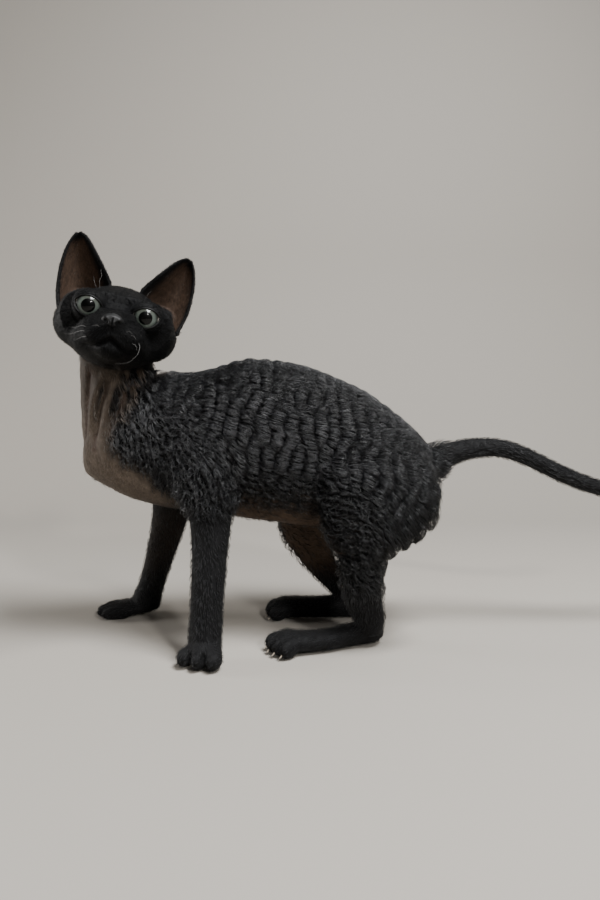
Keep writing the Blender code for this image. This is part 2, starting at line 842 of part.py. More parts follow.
def curl_places(body):
    """Scattered places for curls, evenly apart, each with its normal and long way."""
    random = np.random.default_rng(CURL_SEED)
    mesh = body.data
    mesh.calc_loop_triangles()
    corners = np.array([[mesh.vertices[i].co for i in face.vertices] for face in mesh.loop_triangles]) / MM
    normals = np.array([face.normal for face in mesh.loop_triangles])
    areas = np.array([face.area for face in mesh.loop_triangles])
    chosen = random.choice(len(corners), CURL_TRIES, p=areas / areas.sum())
    shares = random.dirichlet((1, 1, 1), CURL_TRIES)
    found = []
    for face, share in zip(chosen, shares):
        point = share @ corners[face]
        normal = normals[face]
        if not is_curly(point, normal):
            continue
        along = np.cross(normal, HAIR_WAY)
        along /= np.linalg.norm(along)
        across = np.cross(along, normal)
        if all(far_enough(point - other, along, across) for other, _, _ in found):
            found.append((point, normal, along))
    return found


def far_enough(step, along, across):
    """Whether a step between two curls is longer than their spacing."""
    lengthwise = step.dot(along) / CURL_SPACING_ALONG
    crosswise = step.dot(across) / CURL_SPACING_ACROSS
    rest = np.linalg.norm(step) / CURL_SPACING_ALONG
    return lengthwise ** 2 + crosswise ** 2 > 1 or rest > 1


def curl_rings(body, point, along, random):
    """Rings of one curl, which hugs the surface and bends a little."""
    size = 1 + CURL_VARIATION * random.uniform(-1, 1, 3)
    bend = CURL_BEND * random.uniform(-1, 1)
    rings = []
    for station in CURL_STATIONS:
        swell = math.sqrt(1 - station ** 2)
        aim = point + along * station * CURL_HALF_LENGTH * size[0]
        _, place, normal, _ = body.closest_point_on_mesh(Vector(aim) * MM)
        across = np.cross(along, normal)
        middle = np.array(place) / MM + across * bend * (1 - 2 * station ** 2)
        normal = np.array(normal)
        side = across * CURL_HALF_WIDTH * size[1] * (0.35 + 0.65 * swell)
        rise = normal * CURL_HEIGHT * size[2] * (0.25 + 0.75 * swell)
        root = normal * ROOT_DEPTH
        rings.append([middle - side - root, middle - side * 0.5 + rise,
                      middle + side * 0.5 + rise, middle + side - root])
    return rings


def curl(name, body, point, along, random):
    """One closed curl whose pointed ends are sunk into the coat."""
    rings = curl_rings(body, point, along, random)
    roots = [(ring[0] + ring[3]) / 2 for ring in rings]
    first = roots[0] + (roots[0] - roots[1]) * CURL_END
    last = roots[-1] + (roots[-1] - roots[-2]) * CURL_END
    shape = bmesh.new()
    loops = [[shape.verts.new(spot * MM) for spot in ring] for ring in rings]
    for low, high in zip(loops, loops[1:]):
        for index in range(len(low)):
            after = (index + 1) % len(low)
            shape.faces.new((low[index], low[after], high[after], high[index]))
    for loop, tip in ((loops[0], first), (loops[-1], last)):
        point_vertex = shape.verts.new(tip * MM)
        for index in range(len(loop)):
            shape.faces.new((loop[index], loop[(index + 1) % len(loop)], point_vertex))
    bmesh.ops.triangulate(shape, faces=shape.faces)
    bmesh.ops.recalc_face_normals(shape, faces=shape.faces)
    mesh = bpy.data.meshes.new(name)
    shape.to_mesh(mesh)
    shape.free()
    return new_object(name, mesh)


def melt_in(body, pieces):
    """Join many closed pieces to a body in one step and remove them."""
    group = bpy.data.collections.new("pieces")
    for piece in pieces:
        group.objects.link(piece)
    union = body.modifiers.new("Union", "BOOLEAN")
    union.operation = "UNION"
    union.operand_type = "COLLECTION"
    union.collection = group
    apply_modifiers(body)
    for piece in pieces:
        bpy.data.objects.remove(piece)
    bpy.data.collections.remove(group)
    return keep_largest(body)


def add_curls(body):
    """Cover the body's coat with curls, each with its root sunk in."""
    random = np.random.default_rng(CURL_SEED + 1)
    places = curl_places(body)
    curls = [
        curl("curl_%03d" % index, body, point, along, random)
        for index, (point, _, along) in enumerate(places)
    ]
    return melt_in(body, curls)


def make_body(head):
    """The body, curly on trunk and thighs, flat where it rests and clear of the head."""
    body = thin_out(sink_core(body_form()), BODY_FORM_FACES)
    add_curls(body)
    thin_out(body, BODY_FACES)
    floor = box("floor", (0, 0, FLOOR_FLAT - FAR / 2), (FAR * 3, FAR, FAR))
    boolean(body, floor, "DIFFERENCE")
    return clear_of(body, head)


def finish(obj, colour_name, colour, roughness):
    """Give a node its finish and smooth shading."""
    obj.data.materials.clear()
    obj.data.materials.append(material(colour_name, colour, roughness))
    obj.data.shade_smooth()
    obj.data.set_sharp_from_angle(angle=math.radians(50))


def corners_of(nodes):
    """Lowest and highest corner of all nodes, in metres."""
    points = np.vstack([[vertex.co[:] for vertex in node.data.vertices] for node in nodes])
    return points.min(axis=0), points.max(axis=0)


def stand_on_origin(nodes):
    """Hang every node on an empty that sets the cat's box over the origin."""
    low, high = corners_of(nodes)
    stance = bpy.data.objects.new("stance", None)
    bpy.context.scene.collection.objects.link(stance)
    stance.location = (-(low[0] + high[0]) / 2, -(low[1] + high[1]) / 2, -low[2])
    for node in nodes:
        node.parent = stance


def main():
    clear_scene()
    head = make_head()
    body = make_body(head)
    ears = [clear_of(ear("ear_" + name, sign), head) for name, sign in SIDES]
    eyes = [globe("eye_" + name, sign, GLOBE_RADIUS) for name, sign in SIDES]
    pieces = part_body(body)
    for node in [head, *pieces]:
        finish(node, "coat", COAT_BLACK, 0.7)
    for node in ears:
        finish(node, "ear skin", EAR_SKIN, 0.6)
    for node in eyes:
        finish(node, "eye", EYE_GREEN, 0.05)
    stand_on_origin([head, *ears, *eyes, *pieces])


main()
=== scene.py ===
"""Looks of a young devon rex cat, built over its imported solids.

Places are in millimetres in the cat's own stance: it faces -X, its left side
faces -Y and the floor is at z = 0. The head has a frame of its own: forward,
to the cat's left, and up, measured from the point between its eyes.
"""

import copy
import math

import bmesh
import bpy
import numpy as np
from bpy.props import FloatProperty, FloatVectorProperty, IntProperty, PointerProperty
from mathutils import Matrix, Vector
from mathutils.bvhtree import BVHTree


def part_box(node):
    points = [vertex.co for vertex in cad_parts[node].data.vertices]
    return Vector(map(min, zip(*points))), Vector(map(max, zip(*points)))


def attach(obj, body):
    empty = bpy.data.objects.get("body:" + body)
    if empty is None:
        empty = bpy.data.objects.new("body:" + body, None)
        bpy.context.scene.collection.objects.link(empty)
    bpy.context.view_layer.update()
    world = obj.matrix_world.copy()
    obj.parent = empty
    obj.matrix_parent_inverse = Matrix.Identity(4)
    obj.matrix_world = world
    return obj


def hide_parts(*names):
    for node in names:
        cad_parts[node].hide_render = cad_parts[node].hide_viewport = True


bl_info = {
    "name": "Devon rex cat",
    "version": (1, 0, 0),
    "blender": (4, 5, 0),
    "location": "View3D > Sidebar > Cat",
    "description": "Builds the skin, coat and face of a young curly-coated cat",
    "category": "Object",
}

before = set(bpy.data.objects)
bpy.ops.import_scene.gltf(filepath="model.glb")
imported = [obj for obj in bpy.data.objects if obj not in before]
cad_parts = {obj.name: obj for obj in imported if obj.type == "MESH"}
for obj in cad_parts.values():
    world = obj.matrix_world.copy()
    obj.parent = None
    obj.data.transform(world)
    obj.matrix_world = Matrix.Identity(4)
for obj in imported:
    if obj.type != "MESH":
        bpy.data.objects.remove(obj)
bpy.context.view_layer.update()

MM = 0.001
SIDES = (("left", 1), ("right", -1))

# Place of the head and its eyes
HEAD_ORIGIN = (-118.6, -57.7, 233.3)
HEAD_TURN = math.radians(15.8)
HEAD_LIFT = math.radians(10.9)
HEAD_ROLL = math.radians(11.6)
GLOBE_RADIUS = 10.6
GLOBE_CENTRE = (-10.0, 18.6, 3.2)
GAZE = (0.95, 0.0, -0.31)
EYE_SLANT = math.radians(9.5)
LEFT_EYE_SHIFT = 0.5
OPENING_WIDTH = 8.6
INNER_CORNER = 0.8
BRIDGE_REACH = 1.16
OPENING_ABOVE = 6.05
OPENING_BELOW = 6.1

# Flesh along X: x, centre y and z, half width and half height
TRUNK = [
    (-157, -4, 134, 6, 9),
    (-153, -4, 139, 16, 19),
    (-142, -4, 143, 26, 30),
    (-125, -3, 147, 33, 44),
    (-105, -2, 147, 36, 51),
    (-84, -1, 144, 38, 52),
    (-64, 0, 145, 39, 54),
    (-40, 1, 146, 41, 60),
    (-18, 3, 144, 43, 61),
    (0, 5, 141, 43, 61),
    (14, 6, 138.5, 42, 59),
    (30, 8, 137, 41, 54),
    (48, 10, 135, 39, 47.5),
    (64, 11, 129, 37, 42),
    (78, 12, 123, 33, 37),
    (89, 12, 119, 27, 30),
    (98, 12, 117, 18, 19),
    (101.5, 12, 116, 8, 9),
]
HIND_FOOT_LEFT = [
    (60, -9, 9, 5, 5),
    (54, -10, 10, 8.5, 9.5),
    (40, -14, 9, 9.5, 9),
    (20, -21.5, 7.6, 10.5, 7.6),
    (0, -25.5, 7.6, 12, 7.6),
    (-10, -26.5, 8.2, 12.5, 8.2),
]
HIND_FOOT_RIGHT = [
    (52, 46, 9, 5, 5),
    (46, 46, 10, 8.5, 9.5),
    (30, 46, 9.6, 9.5, 9.6),
    (10, 46, 9, 10, 9),
    (-6, 46, 9, 11.5, 9),
    (-14, 46, 9, 12, 9),
]

# Flesh up Z: z, centre x and y, half length and half width
NECK = [
    (126, -126, -3, 26, 24),
    (146, -130, -4, 28, 25),
    (166, -132, -6, 27, 24),
    (186, -132.5, -10, 26, 24),
    (204, -131, -15, 26, 25),
    (220, -130, -20, 24, 24),
]
FORE_LEG_LEFT = [
    (172, -86, -20, 20, 12),
    (150, -78, -25, 24, 15),
    (122, -67, -31, 24, 16),
    (100, -62, -35, 18.5, 14),
    (84, -61, -37.5, 15.5, 12.5),
    (66, -61.5, -39.5, 13, 11.5),
    (46, -62.5, -41.5, 12, 11),
    (28, -63.2, -43, 11.8, 11),
    (14, -63.8, -44, 12.2, 11.5),
    (7, -64, -45.5, 12.5, 11.5),
]
FORE_LEG_RIGHT = [
    (168, -100, 20, 20, 12),
    (146, -100, 25, 23, 15),
    (118, -100, 29, 22, 16),
    (96, -101, 32, 18, 14),
    (78, -104, 36, 15.5, 12.5),
    (60, -109.5, 41, 13, 11),
    (42, -115.5, 46, 11.8, 10.5),
    (26, -121, 50, 11.5, 10.5),
    (13, -126, 53, 13.0, 10.5),
    (6, -127.5, 53, 13.5, 10.2),
]
THIGH_LEFT = [
    (152, 54, -16, 26, 12),
    (132, 52, -26, 39, 16),
    (112, 53, -31, 43, 17),
    (96, 52.5, -33, 41.5, 16.5),
    (84, 49, -33, 35, 15.5),
    (76, 46, -32.5, 27, 14),
    (68, 42.5, -31.5, 18.5, 13),
    (58, 41.8, -30, 16, 12),
    (46, 43, -27.5, 15.2, 11),
    (34, 45, -24, 14, 10.2),
    (22, 48.5, -18.5, 12.2, 9.5),
    (10, 50.5, -14.5, 9.5, 9),
]
THIGH_RIGHT = [
    (150, 48, 34, 28, 12),
    (132, 40, 42, 36, 16),
    (112, 28, 46, 39, 17),
    (94, 16, 48, 34, 16.5),
    (78, 5.5, 49, 25, 15),
    (64, 6, 49, 21, 13),
    (50, 12, 49, 17, 11.5),
    (36, 22, 48, 14.5, 10.5),
    (22, 35, 47, 12.5, 9.5),
    (10, 42, 47, 9.5, 9),
]

# Tail: x, y, z and radius
TAIL = [
    (86, 12, 124, 17),
    (99, 12, 128, 14.5),
    (112, 12, 134.5, 10.8),
    (126, 12, 138.6, 8.6),
    (140, 12, 140, 7.9),
    (153, 12, 139.2, 7.5),
    (168, 12.5, 134.5, 7.2),
    (184, 13, 127, 7),
    (204, 14, 117.5, 6.8),
    (227, 15, 109.3, 6.4),
    (250, 17, 104, 5.6),
    (272, 20, 102.5, 4.8),
    (292, 24, 105, 3.9),
    (306, 27, 110, 2.9),
]

# Toes: how far to the side, in half widths, and how far forward, in lengths
FOUR_TOES = ((-0.72, -0.14), (-0.25, 0.0), (0.25, 0.0), (0.72, -0.14))
THREE_TOES = ((-0.66, -0.1), (0.02, 0.0), (0.68, -0.1))

# Paws: ankle, way the toes point, half width, length beyond the ankle, and toes
PAWS = {
    "fore_left": ((-63, -46, 9.5), (-0.3, -0.95), 14.6, 14.5, THREE_TOES),
    "fore_right": ((-132, 52.5, 7.2), (-0.97, -0.22), 12.8, 29.0, FOUR_TOES),
    "hind_left": ((-6, -26.5, 8.8), (-0.84, -0.54), 13.0, 13.5, FOUR_TOES),
    "hind_right": ((-11, 46, 9.0), (-0.99, -0.12), 12.6, 13.0, FOUR_TOES),
}
TOE_GAP_DEPTH = 2.6
TOE_RADIUS = 6.6
CLAW_LENGTH = 4.6
CLAW_RADIUS = 0.75
FLOOR_LEVEL = 1.4

# Masses of the head in its own frame: forward, left and up, then three radii.
# The left ones are mirrored.
HEAD_MASSES = {
    "cranium": ((-36, 0, 6), (28, 31, 24)),
    "brow": ((-18, 0, 5), (17, 28, 14.5)),
    "orbit_left": ((-14.5, 19.5, 1.5), (14, 18.5, 14.5)),
    "cheek_left": ((-27, 21.5, -6), (20, 20.5, 17)),
    "jowl_left": ((-17, 12, -15), (20, 16, 15)),
    "face": ((-12, 0, -8), (16, 22, 14)),
    "muzzle": ((-1, 0, -15), (13, 13.5, 9)),
    "pad_left": ((-0.5, 9.8, -18.2), (9.5, 9.8, 7.6)),
    "bridge": ((1, 0, -5.5), (11, 6.2, 6)),
    "nose": ((9.5, -0.6, -10.0), (5, 5.8, 4.2)),
    "chin": ((0.5, 0, -28), (8, 8, 5)),
    "jaw": ((-20, 0, -20), (24, 23, 12.5)),
    "ear_root_left": ((-48, 27, 12), (9, 13, 15)),
}
MELT = 2.4

# Edges of the left ear from root to tip, in the head's frame
EAR_INNER_EDGE = [
    (-30, 9, 26),
    (-29.5, 14.5, 35),
    (-29, 20.5, 43),
    (-29.5, 26.5, 51),
    (-31, 33, 58.8),
    (-33, 38.2, 62.2),
]
EAR_OUTER_EDGE = [
    (-36, 41, 4),
    (-37, 44.5, 15.5),
    (-36.5, 46.2, 28),
    (-36, 46.4, 40),
    (-35, 44.8, 52),
    (-34, 41.2, 61.5),
]
EAR_CUP_DEPTH = (17, 17, 15, 12, 8, 2)

# Line of the mouth from the middle to the left corner, and the groove under the nose
MOUTH_LINE = [
    (10.5, 0, -22.0),
    (9.5, 3.2, -23.6),
    (8.0, 6.5, -25.4),
    (4.0, 11.2, -26.6),
    (-3, 15.8, -25.6),
    (-9, 19.0, -23.4),
]
PHILTRUM = [(14, 0, -14.6), (12, 0, -18), (10.5, 0, -22.0)]

# Brow, stop, cheek hollow, tear line and cheek bone of the left side: height, width and line
FACE_LINES = (
    (0.6, 3.6, [(-5, 9, 12), (-4, 15, 14.5), (-8, 25, 14)]),
    (-0.6, 3.0, [(4, 3, 3), (2, 0, 6)]),
    (-1.3, 3.4, [(3, 9, -8), (-4, 17, -13), (-12, 24, -18)]),
    (-0.6, 1.5, [(4.5, 8, 0.5), (8, 5.5, -4.5), (11, 5.2, -8.5)]),
    (0.9, 4.5, [(-8, 27, -6), (-18, 36, -3), (-30, 40, 0)]),
)

# Heights of the rows of dots at the whiskers' roots
WHISKER_ROWS = (-13.2, -15.6, -18.0)

# Edge of the bare throat, where the coat begins: x at some heights
EDGE_HEIGHTS = (88, 106, 127, 138, 148, 175, 200, 214)
EDGE_X = (-66, -88, -109, -126, -130, -121, -104, -96)

# Cords and hollows of the throat: how far each stands out, its width and its line
THROAT_FOLDS = (
    (2.0, 3.2, [
        (-130, -50, 202), (-140, -31.7, 182.9), (-145.3, -26.0, 167.6),
        (-148.4, -22.9, 145), (-147, -16, 122)]),
    (-2.4, 2.4, [(-124, -50, 202), (-135.0, -32.3, 182.9), (-141.2, -27.9, 165.6), (-143.1, -28.6, 142)]),
    (1.8, 2.8, [
        (-118, -50, 202), (-128.8, -32.5, 184.3), (-133.8, -29.3, 169.1),
        (-137.2, -29.7, 148), (-134, -30, 128)]),
    (-2.2, 3.0, [(-108, -30, 202), (-117.2, -29.2, 187.1), (-124.6, -29.9, 176.7), (-129.7, -31.5, 158.7)]),
    (-1.4, 2.4, [(-144.3, -33.2, 198), (-149.0, -25.4, 176.0), (-151.2, -20.9, 154.8), (-151, -14, 135)]),
    (1.5, 3.0, [(-147, 2, 198), (-152, 4, 176), (-153, 3, 150), (-149, 2, 122)]),
    (-1.6, 2.6, [(-143, 14, 198), (-148, 14, 172), (-148, 12, 145)]),
    (1.5, 3.0, [(-136, 22, 198), (-141, 24, 172), (-142, 23, 145)]),
    (-1.5, 2.8, [(-126, 30, 196), (-130, 33, 172), (-130, 34, 150)]),
)

# Whiskers and brow hairs: forward, left, and height as the camera sees it, root to tip
WHISKERS = [
    [(6, 17.5, -16.8), (11, 18.6, -18.8), (13, 17.8, -24.0), (12.5, 13.5, -29.2), (11, 6.2, -31.8)],
    [(9, 8.5, -11.2), (12, 10.5, -10.4), (13.5, 12.6, -11.3)],
    [(8, 11.5, -13.0), (11, 13.6, -12.6), (12.5, 15.4, -14.2)],
    [(7, 13.5, -17.5), (10, 16.2, -18.4), (11, 17.4, -21.0)],
    [(4, -14.5, -14.0), (6, -18.5, -13.2), (7, -22.5, -15.2), (7, -25.8, -15.6)],
    [(4, -15.0, -16.2), (6, -19.0, -16.6), (7, -23.5, -19.4), (6, -28.0, -20.6)],
    [(4, -13.5, -18.8), (7, -17.0, -20.0), (8, -20.5, -22.8)],
    [(9, -7.5, -12.0), (11.5, -9.5, -10.8), (12.5, -11.8, -11.6)],
    [(-7, -14.5, 12.5), (-4, -15.5, 17.0), (-3.5, -15.0, 21.0), (-5, -16.5, 25.0)],
    [(-8, -17.0, 12.5), (-6, -18.5, 15.5), (-6, -20.0, 19.0)],
    [(-7, 15.0, 12.0), (-5, 16.0, 15.0), (-5, 18.0, 18.5)],
]
WHISKER_RADIUS = 0.09

# How much of a move forward and up in the head's frame shows as height to the camera
SEEN_FORWARD = 0.316
SEEN_UP = 0.949

# Lie and waves of the coat
TRUNK_WAY = (0.94, 0.0, -0.34)
WAVE_LENGTH = 8.4
WAVE_HEIGHT = 1.7
CURL_LENGTH = 5.0
LEG_WAVE_LENGTH = 4.6
CROSSING_WAVES = 7

# Body of a lock, the size of its patch on the unwrap, and the most triangles of a piece
LOCK_SIDES = 3
LOCK_FLATNESS = 0.6
PATCH_SIZE = 0.003
MOST_TRIANGLES = 195000

# Point of the nose from which the fur of the face lies back, and width of the eyes' flat map
NOSE = (14.0, 0.0, -6.0)
EYE_MAP = 24

# Folds of lids and mouth
LID_HEIGHT = 1.0
SOCKET_DEPTH = 1.6
MOUTH_DEPTH = 1.5
MOUTH_WIDTH = 0.95

# Looks of the hair: roughness, gloss and sheen
COAT_LOOKS = {
    "curls": (0.3, 0.42, 0.04),
    "down": (0.38, 0.24, 0.04),
    "face": (0.5, 0.08, 0.012),
}
BASE_HUE = (0.02, 0.02, 0.02)
BLACK = (0, 0, 0)
SHEEN_TINT = (0.75, 0.8, 0.9, 1)
GRAIN_DEPTH = 0.0003

# White of the eyes, which is dull in the shade of the lids
SCLERA = (0.19, 0.175, 0.155, 1)

# Looks of the bare pieces: colour, roughness, and size and strength of the grain
BARE_LOOKS = {
    "lid_rim": ((0.004, 0.004, 0.004), 0.5, 2200, 0.2),
    "nose": ((0.007, 0.007, 0.007), 0.5, 2600, 0.12),
    "whisker": ((0.16, 0.155, 0.15), 0.45, 3000, 0.1),
    "claw": ((0.3, 0.26, 0.21), 0.35, 900, 0.05),
}

# Stage: camera with its focal length and picture in pixels and its sensor in millimetres,
# and lights with their place, target and size in metres, power and colour
CAMERA_PLACE = (0, -0.480, 0.176)
FOCAL_PIXELS = 650
PICTURE_PIXELS = 900
SHIFT_PIXELS = -50
SENSOR = 36
LIGHTS = (
    ("lamp", (0.62, -1.35, 0.95), (-0.05, 0, 0.12), 0.15, 20, (1.0, 0.98, 0.95)),
    ("side", (-1.3, 0.08, 0.35), (-0.1, 0, 0.15), 0.4, 13, (1.0, 0.98, 0.96)),
    ("top", (0.35, -0.45, 1.3), (0, 0, 0.12), 0.45, 54, (0.98, 0.99, 1.0)),
)
FLOOR_COLOUR = (0.27, 0.25, 0.222)
ROOM_LIGHT = 0.11


def depth_setting(part, value):
    """A setting for the coat's depth on one part."""
    text = "Depth of the coat on the %s, in millimetres" % part
    return FloatProperty(name=part.capitalize() + " coat", description=text, default=value, min=0)


def colour_setting(label, text, value):
    """A setting for one colour."""
    return FloatVectorProperty(name=label, description=text, subtype="COLOR", default=value)


class CatForm(bpy.types.PropertyGroup):
    """Sizes of the flesh and the face."""
    voxel: FloatProperty(
        name="Grid", description="Grid on which the flesh is fused, in millimetres", default=0.85, min=0.4)
    melt: IntProperty(
        name="Melting", description="Rounds of smoothing that melt the masses of the head", default=8, min=0)
    trunk_coat: depth_setting("trunk", 3.2)
    leg_coat: depth_setting("lower legs", 1.0)
    tail_coat: depth_setting("tail", 1.0)
    head_coat: depth_setting("head", 0.5)
    skin_triangles: IntProperty(
        name="Skin triangles", description="Most triangles of the skin", default=190000, min=1000)
    iris: FloatProperty(name="Iris", description="Radius of the iris", default=0.0077, unit="LENGTH")
    pupil: FloatProperty(name="Pupil", description="Half height of the pupil", default=0.0044, unit="LENGTH")


class CatColours(bpy.types.PropertyGroup):
    """Colours of the coat, the bare skin and the eyes."""
    coat: colour_setting("Coat", "Black coat", (0.0065, 0.0065, 0.0068))
    throat: colour_setting("Throat", "Bare throat", (0.1, 0.079, 0.062))
    # The hollows' tint is warmer skin with painted shade: it is darker than the throat.
    flush: colour_setting("Flush", "Warm tint of the throat's hollows", (0.05, 0.026, 0.019))
    belly: colour_setting("Belly", "Thinly haired belly", (0.08, 0.054, 0.037))
    ear: colour_setting("Ear", "Inside of the ears", (0.03, 0.0185, 0.0125))
    iris_low: colour_setting("Iris below", "Lower part of the iris", (0.078, 0.094, 0.083))
    # The upper part of the iris is painted darker: painted shadow of the upper lid.
    iris_lid_shadow: colour_setting("Iris above", "Upper part of the iris", (0.03, 0.032, 0.026))


def head_matrix():
    """Place of the head's own frame in the body's, in millimetres."""
    forward = Vector((
        math.sin(HEAD_TURN) * math.cos(HEAD_LIFT),
        -math.cos(HEAD_TURN) * math.cos(HEAD_LIFT),
        math.sin(HEAD_LIFT),
    ))
    level_left = Vector((math.cos(HEAD_TURN), math.sin(HEAD_TURN), 0))
    level_up = forward.cross(level_left)
    left = math.cos(HEAD_ROLL) * level_left - math.sin(HEAD_ROLL) * level_up
    up = math.sin(HEAD_ROLL) * level_left + math.cos(HEAD_ROLL) * level_up
    matrix = Matrix((forward, left, up)).transposed().to_4x4()
    return Matrix.Translation(HEAD_ORIGIN) @ matrix


def facing(direction):
    """A turn whose X axis runs along a direction and whose Z axis is near upright."""
    forward = Vector(direction).normalized()
    side = Vector((0, 0, 1)).cross(forward).normalized()
    return Matrix((forward, side, forward.cross(side))).transposed().to_4x4()


def eye_matrix(sign):
    """Place of one eye: X along its gaze, Y to the cat's left, Z up."""
    forward, left, up = GLOBE_CENTRE
    place = Matrix.Translation((forward, sign * left - (sign > 0) * LEFT_EYE_SHIFT, up))
    slant = Matrix.Rotation(sign * EYE_SLANT, 4, "X")
    return HEAD @ place @ facing(GAZE) @ slant


HEAD = head_matrix()


def stance_shift():
    """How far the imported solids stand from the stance's own origin, in metres."""
    low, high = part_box("eye_left")
    centre = (Vector(low) + Vector(high)) / 2
    return centre - HEAD @ Vector(GLOBE_CENTRE) * MM


SHIFT = stance_shift()


def in_stance(points):
    """Points of the model, in metres, as millimetres in the stance."""
    return (np.asarray(points) - np.array(SHIFT)) / MM


def in_model(points):
    """Millimetres of the stance as metres in the model."""
    return np.asarray(points) * MM + np.array(SHIFT)


def placed(points, matrix):
    """Rows of points moved by a matrix."""
    turn = np.array(matrix)
    return np.asarray(points) @ turn[:3, :3].T + turn[:3, 3]


def in_head(points):
    """Rows of points of the stance in the head's frame."""
    return placed(points, HEAD.inverted())


def placed_rings(rings, matrix):
    """Rings of points moved by a matrix."""
    rings = np.array(rings)
    return placed(rings.reshape(-1, 3), matrix).reshape(rings.shape)


def circle(count):
    """Angles evenly round a circle."""
    return np.linspace(0, 2 * np.pi, count, endpoint=False)


def bell(distance, width):
    """A soft bump that is 1 at no distance and fades over a width."""
    return np.exp(-(distance / width) ** 2)


def blend(values, weight, target):
    """Values drawn towards a target by a weight for each point."""
    weight = np.asarray(weight)
    if np.ndim(values) == 2:
        weight = weight[:, None]
    return values * (1 - weight) + np.asarray(target) * weight


def smooth_step(low, high, value):
    """A soft change from 0 at low to 1 at high."""
    t = np.clip((np.asarray(value, float) - low) / (high - low), 0, 1)
    return t * t * (3 - 2 * t)


def smooth_rows(rows, steps):
    """Rows of sizes, joined by a smooth curve with some steps in each span."""
    rows = np.array(rows, float)
    padded = np.vstack([2 * rows[0] - rows[1], rows, 2 * rows[-1] - rows[-2]])
    found = []
    for index in range(1, len(padded) - 2):
        before, start, end, after = padded[index - 1:index + 3]
        for step in range(steps):
            t = step / steps
            found.append(0.5 * (
                2 * start
                + (end - before) * t
                + (2 * before - 5 * start + 4 * end - after) * t ** 2
                + (3 * start - before - 3 * end + after) * t ** 3
            ))
    found.append(rows[-1])
    return np.array(found)


def soft_noise(points, size, seed):
    """Smooth noise from -1 to 1 over rows of points, with patches of a size."""
    spots = np.asarray(points) / size + 37.3
    cell = np.floor(spots).astype(np.int64)
    part = spots - cell
    part = part * part * (3 - 2 * part)
    total = np.zeros(len(spots))
    for corner in np.ndindex(2, 2, 2):
        at = cell + corner
        mixed = (at[:, 0] * 73856093) ^ (at[:, 1] * 19349663) ^ (at[:, 2] * 83492791) ^ (seed * 2654435761)
        mixed = (mixed ^ (mixed >> 13)) * 1274126177
        value = ((mixed ^ (mixed >> 16)) & 65535) / 32767.5 - 1
        share = np.prod(np.where(np.array(corner) == 1, part, 1 - part), axis=1)
        total += value * share
    return total


def noise_rows(points, size, seed):
    """Three columns of smooth noise, from seeds that follow each other."""
    return np.column_stack([soft_noise(points, size, seed + step) for step in range(3)])


def new_object(name, data):
    """Link a mesh, lamp or camera to the scene as an object."""
    obj = bpy.data.objects.new(name, data)
    bpy.context.scene.collection.objects.link(obj)
    return obj


def mesh_of(name, points, faces):
    """An object from rows of points in the stance and faces."""
    mesh = bpy.data.meshes.new(name)
    mesh.from_pydata(np.asarray(points, float) * MM, [], faces)
    shape = bmesh.new()
    shape.from_mesh(mesh)
    bmesh.ops.recalc_face_normals(shape, faces=shape.faces)
    shape.to_mesh(mesh)
    shape.free()
    return new_object(name, mesh)


def rings_mesh(name, rings, closed=False):
    """A closed mesh through rings of points, capped at its ends or joined to a loop."""
    rings = np.array(rings)
    rows, columns = rings.shape[:2]
    faces = []
    for row in range(rows if closed else rows - 1):
        for column in range(columns):
            after = (column + 1) % columns
            low, high = row * columns, (row + 1) % rows * columns
            faces.append((low + column, low + after, high + after, high + column))
    if not closed:
        faces.append(tuple(range(columns))[::-1])
        faces.append(tuple(range((rows - 1) * columns, rows * columns)))
    return mesh_of(name, rings.reshape(-1, 3), faces)


def stack(axis, rows, coat):
    """Ellipses set one after another along X or Z, drawn in by the coat's depth at each place."""
    angles = circle(36)
    rings = []
    for place, first, second, half_first, half_second in smooth_rows(rows, 5):
        depth = min(np.interp(place, *coat), 0.6 * min(half_first, half_second))
        across = first + (half_first - depth) * np.cos(angles)
        along = second + (half_second - depth) * np.sin(angles)
        fixed = np.full(len(angles), place)
        rings.append(np.column_stack([fixed, across, along] if axis == "X" else [across, along, fixed]))
    return rings_mesh("flesh", rings)


def tube_rings(rows, points=24):
    """Rings round a path of x, y, z and radius."""
    rows = np.asarray(rows, float)
    path = rows[:, :3]
    tangents = np.gradient(path, axis=0)
    tangents /= np.linalg.norm(tangents, axis=1)[:, None]
    side = np.cross(tangents[0], (0.31, 0.92, 0.24))
    angles = circle(points)[:, None]
    rings = []
    for centre, tangent, radius in zip(path, tangents, rows[:, 3]):
        side = side - tangent * side.dot(tangent)
        side /= np.linalg.norm(side)
        other = np.cross(tangent, side)
        rings.append(centre + radius * (np.cos(angles) * side + np.sin(angles) * other))
    return rings


def ellipsoid(centre, radii, matrix=None, turn=0.0):
    """A closed ellipsoid, turned about Z and then placed by a matrix."""
    shape = bmesh.new()
    bmesh.ops.create_uvsphere(shape, u_segments=32, v_segments=16, radius=1)
    place = Matrix.Translation(centre) @ Matrix.Rotation(turn, 4, "Z") @ Matrix.Diagonal((*radii, 1))
    if matrix:
        place = matrix @ place
    bmesh.ops.transform(shape, matrix=Matrix.Scale(MM, 4) @ place, verts=shape.verts)
    mesh = bpy.data.meshes.new("flesh")
    shape.to_mesh(mesh)
    shape.free()
    return new_object("flesh", mesh)


def join(name, pieces):
    """One object that holds the meshes of several, which are removed."""
    shape = bmesh.new()
    for piece in pieces:
        shape.from_mesh(piece.data)
        bpy.data.objects.remove(piece)
    mesh = bpy.data.meshes.new(name)
    shape.to_mesh(mesh)
    shape.free()
    return new_object(name, mesh)


def apply_modifiers(obj):
    """Turn an object's modifiers into its mesh."""
    bpy.context.view_layer.update()
    graph = bpy.context.evaluated_depsgraph_get()
    mesh = bpy.data.meshes.new_from_object(obj.evaluated_get(graph))
    obj.modifiers.clear()
    obj.data = mesh


def vertex_rows(obj):
    """Places of an object's vertices as rows."""
    rows = np.empty(len(obj.data.vertices) * 3)
    obj.data.vertices.foreach_get("co", rows)
    return rows.reshape(-1, 3)


